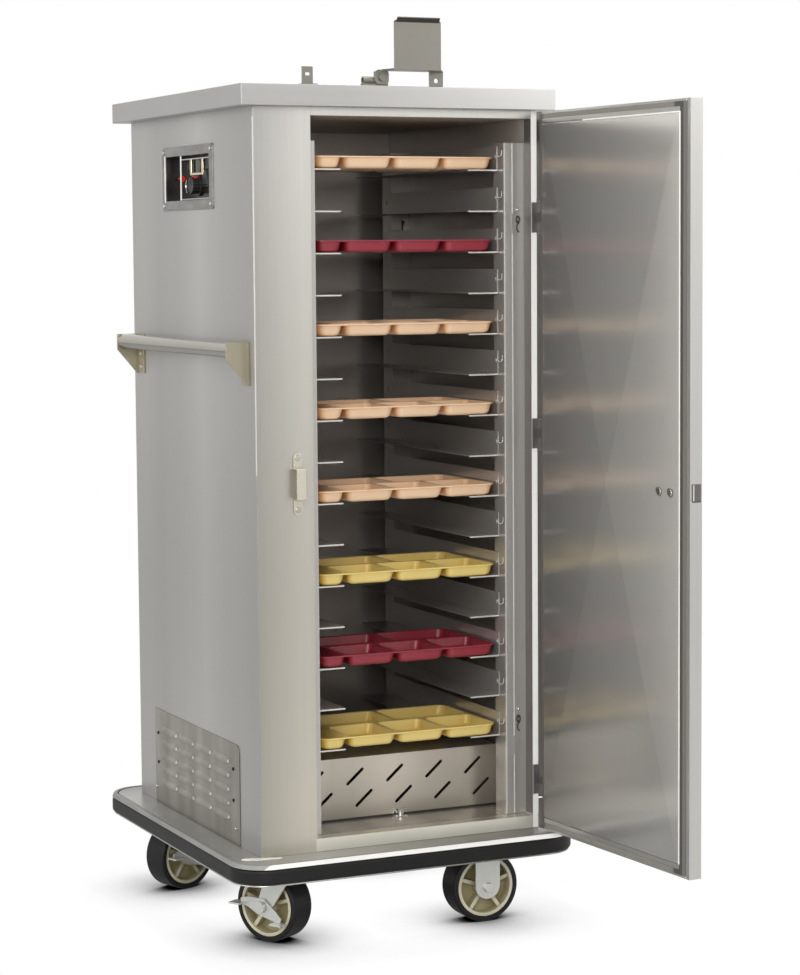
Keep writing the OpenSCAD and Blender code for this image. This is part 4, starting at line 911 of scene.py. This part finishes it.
# %% Ring round the deck
ring_out, ring_width, ring_height, ring_flare, ring_round = 0.6, 7, 7.4, 2.6, 0.6
ring_corner = 60.6
deck_low, deck_high = span_of("base_deck")
wide = deck_high.x - deck_low.x + 2 * ring_out
deep = deck_high.y - deck_low.y + 2 * ring_out
bm = bmesh.new()
bmesh.ops.create_grid(bm, x_segments=1, y_segments=1, size=0.5)
bmesh.ops.scale(bm, vec=(wide * MM, deep * MM, 1), verts=bm.verts)
bmesh.ops.bevel(bm, geom=bm.verts[:], offset=ring_corner * MM, segments=14, profile=0.5,
                affect="VERTICES", material=-1)
middle = bm.faces[:]
bmesh.ops.inset_region(bm, faces=middle, thickness=ring_width * MM, use_even_offset=True,
                       use_boundary=True)
bmesh.ops.delete(bm, geom=middle, context="FACES")
done = bmesh.ops.extrude_face_region(bm, geom=bm.faces[:])
low = [v for v in done["geom"] if isinstance(v, bmesh.types.BMVert)]
bmesh.ops.translate(bm, vec=(0, 0, -ring_height * MM), verts=low)
bmesh.ops.scale(bm, vec=(1 + 2 * ring_flare / wide, 1 + 2 * ring_flare / deep, 1), verts=low)
bmesh.ops.recalc_face_normals(bm, faces=bm.faces)
edges = [e for e in bm.edges if e.calc_face_angle(0) > 1]
bmesh.ops.bevel(bm, geom=edges, offset=ring_round * MM, offset_type="OFFSET", segments=2,
                profile=0.5, affect="EDGES", material=-1)
bmesh.ops.translate(bm, vec=(0, (deck_low.y + deck_high.y) / 2 * MM, (deck_high.z + 0.6) * MM),
                    verts=bm.verts)
piece("deck_edge", bm, "cabinet", "deck_steel", look="edge_trim")

# %% [markdown]
# ## The floor
# The camera sees the floor as pure white paper, darkened only where a wheel stands close above it.
# That darkening is a painted shadow: an occlusion node measures how much of the sky over a point is
# hidden within a hand's breadth, which is just the soft contact shadow of a product picture. Other
# rays meet plain white paper.

# %% Floor
material, tree, shader = new_material("paper_floor")
shader.inputs["Base Color"].default_value = (0.82, 0.82, 0.82, 1)
shader.inputs["Roughness"].default_value = 0.9
hidden = add(tree, "AmbientOcclusion", [], [("Distance", 0.15)]).outputs["AO"]
contact = ranged(tree, hidden, 0.0, 1.0, 0.25, 0.97)
contact = add(tree, "Math", [(0, contact)], [(1, 1.4)], operation="POWER").outputs[0]
paper = add(tree, "Emission", [("Color", contact)], [("Strength", 1.0)])
seen = add(tree, "LightPath")
choose = add(tree, "MixShader", [(0, seen.outputs["Is Camera Ray"]),
                                 (1, shader.outputs[0]), (2, paper.outputs[0])])
tree.links.new(choose.outputs[0], tree.nodes["Material Output"].inputs["Surface"])
bm = bmesh.new()
bmesh.ops.create_circle(bm, cap_ends=True, segments=96, radius=9)
mesh = bpy.data.meshes.new("floor")
bm.to_mesh(mesh)
bm.free()
mesh.materials.append(material)
floor = bpy.data.objects.new("floor", mesh)
bpy.context.scene.collection.objects.link(floor)
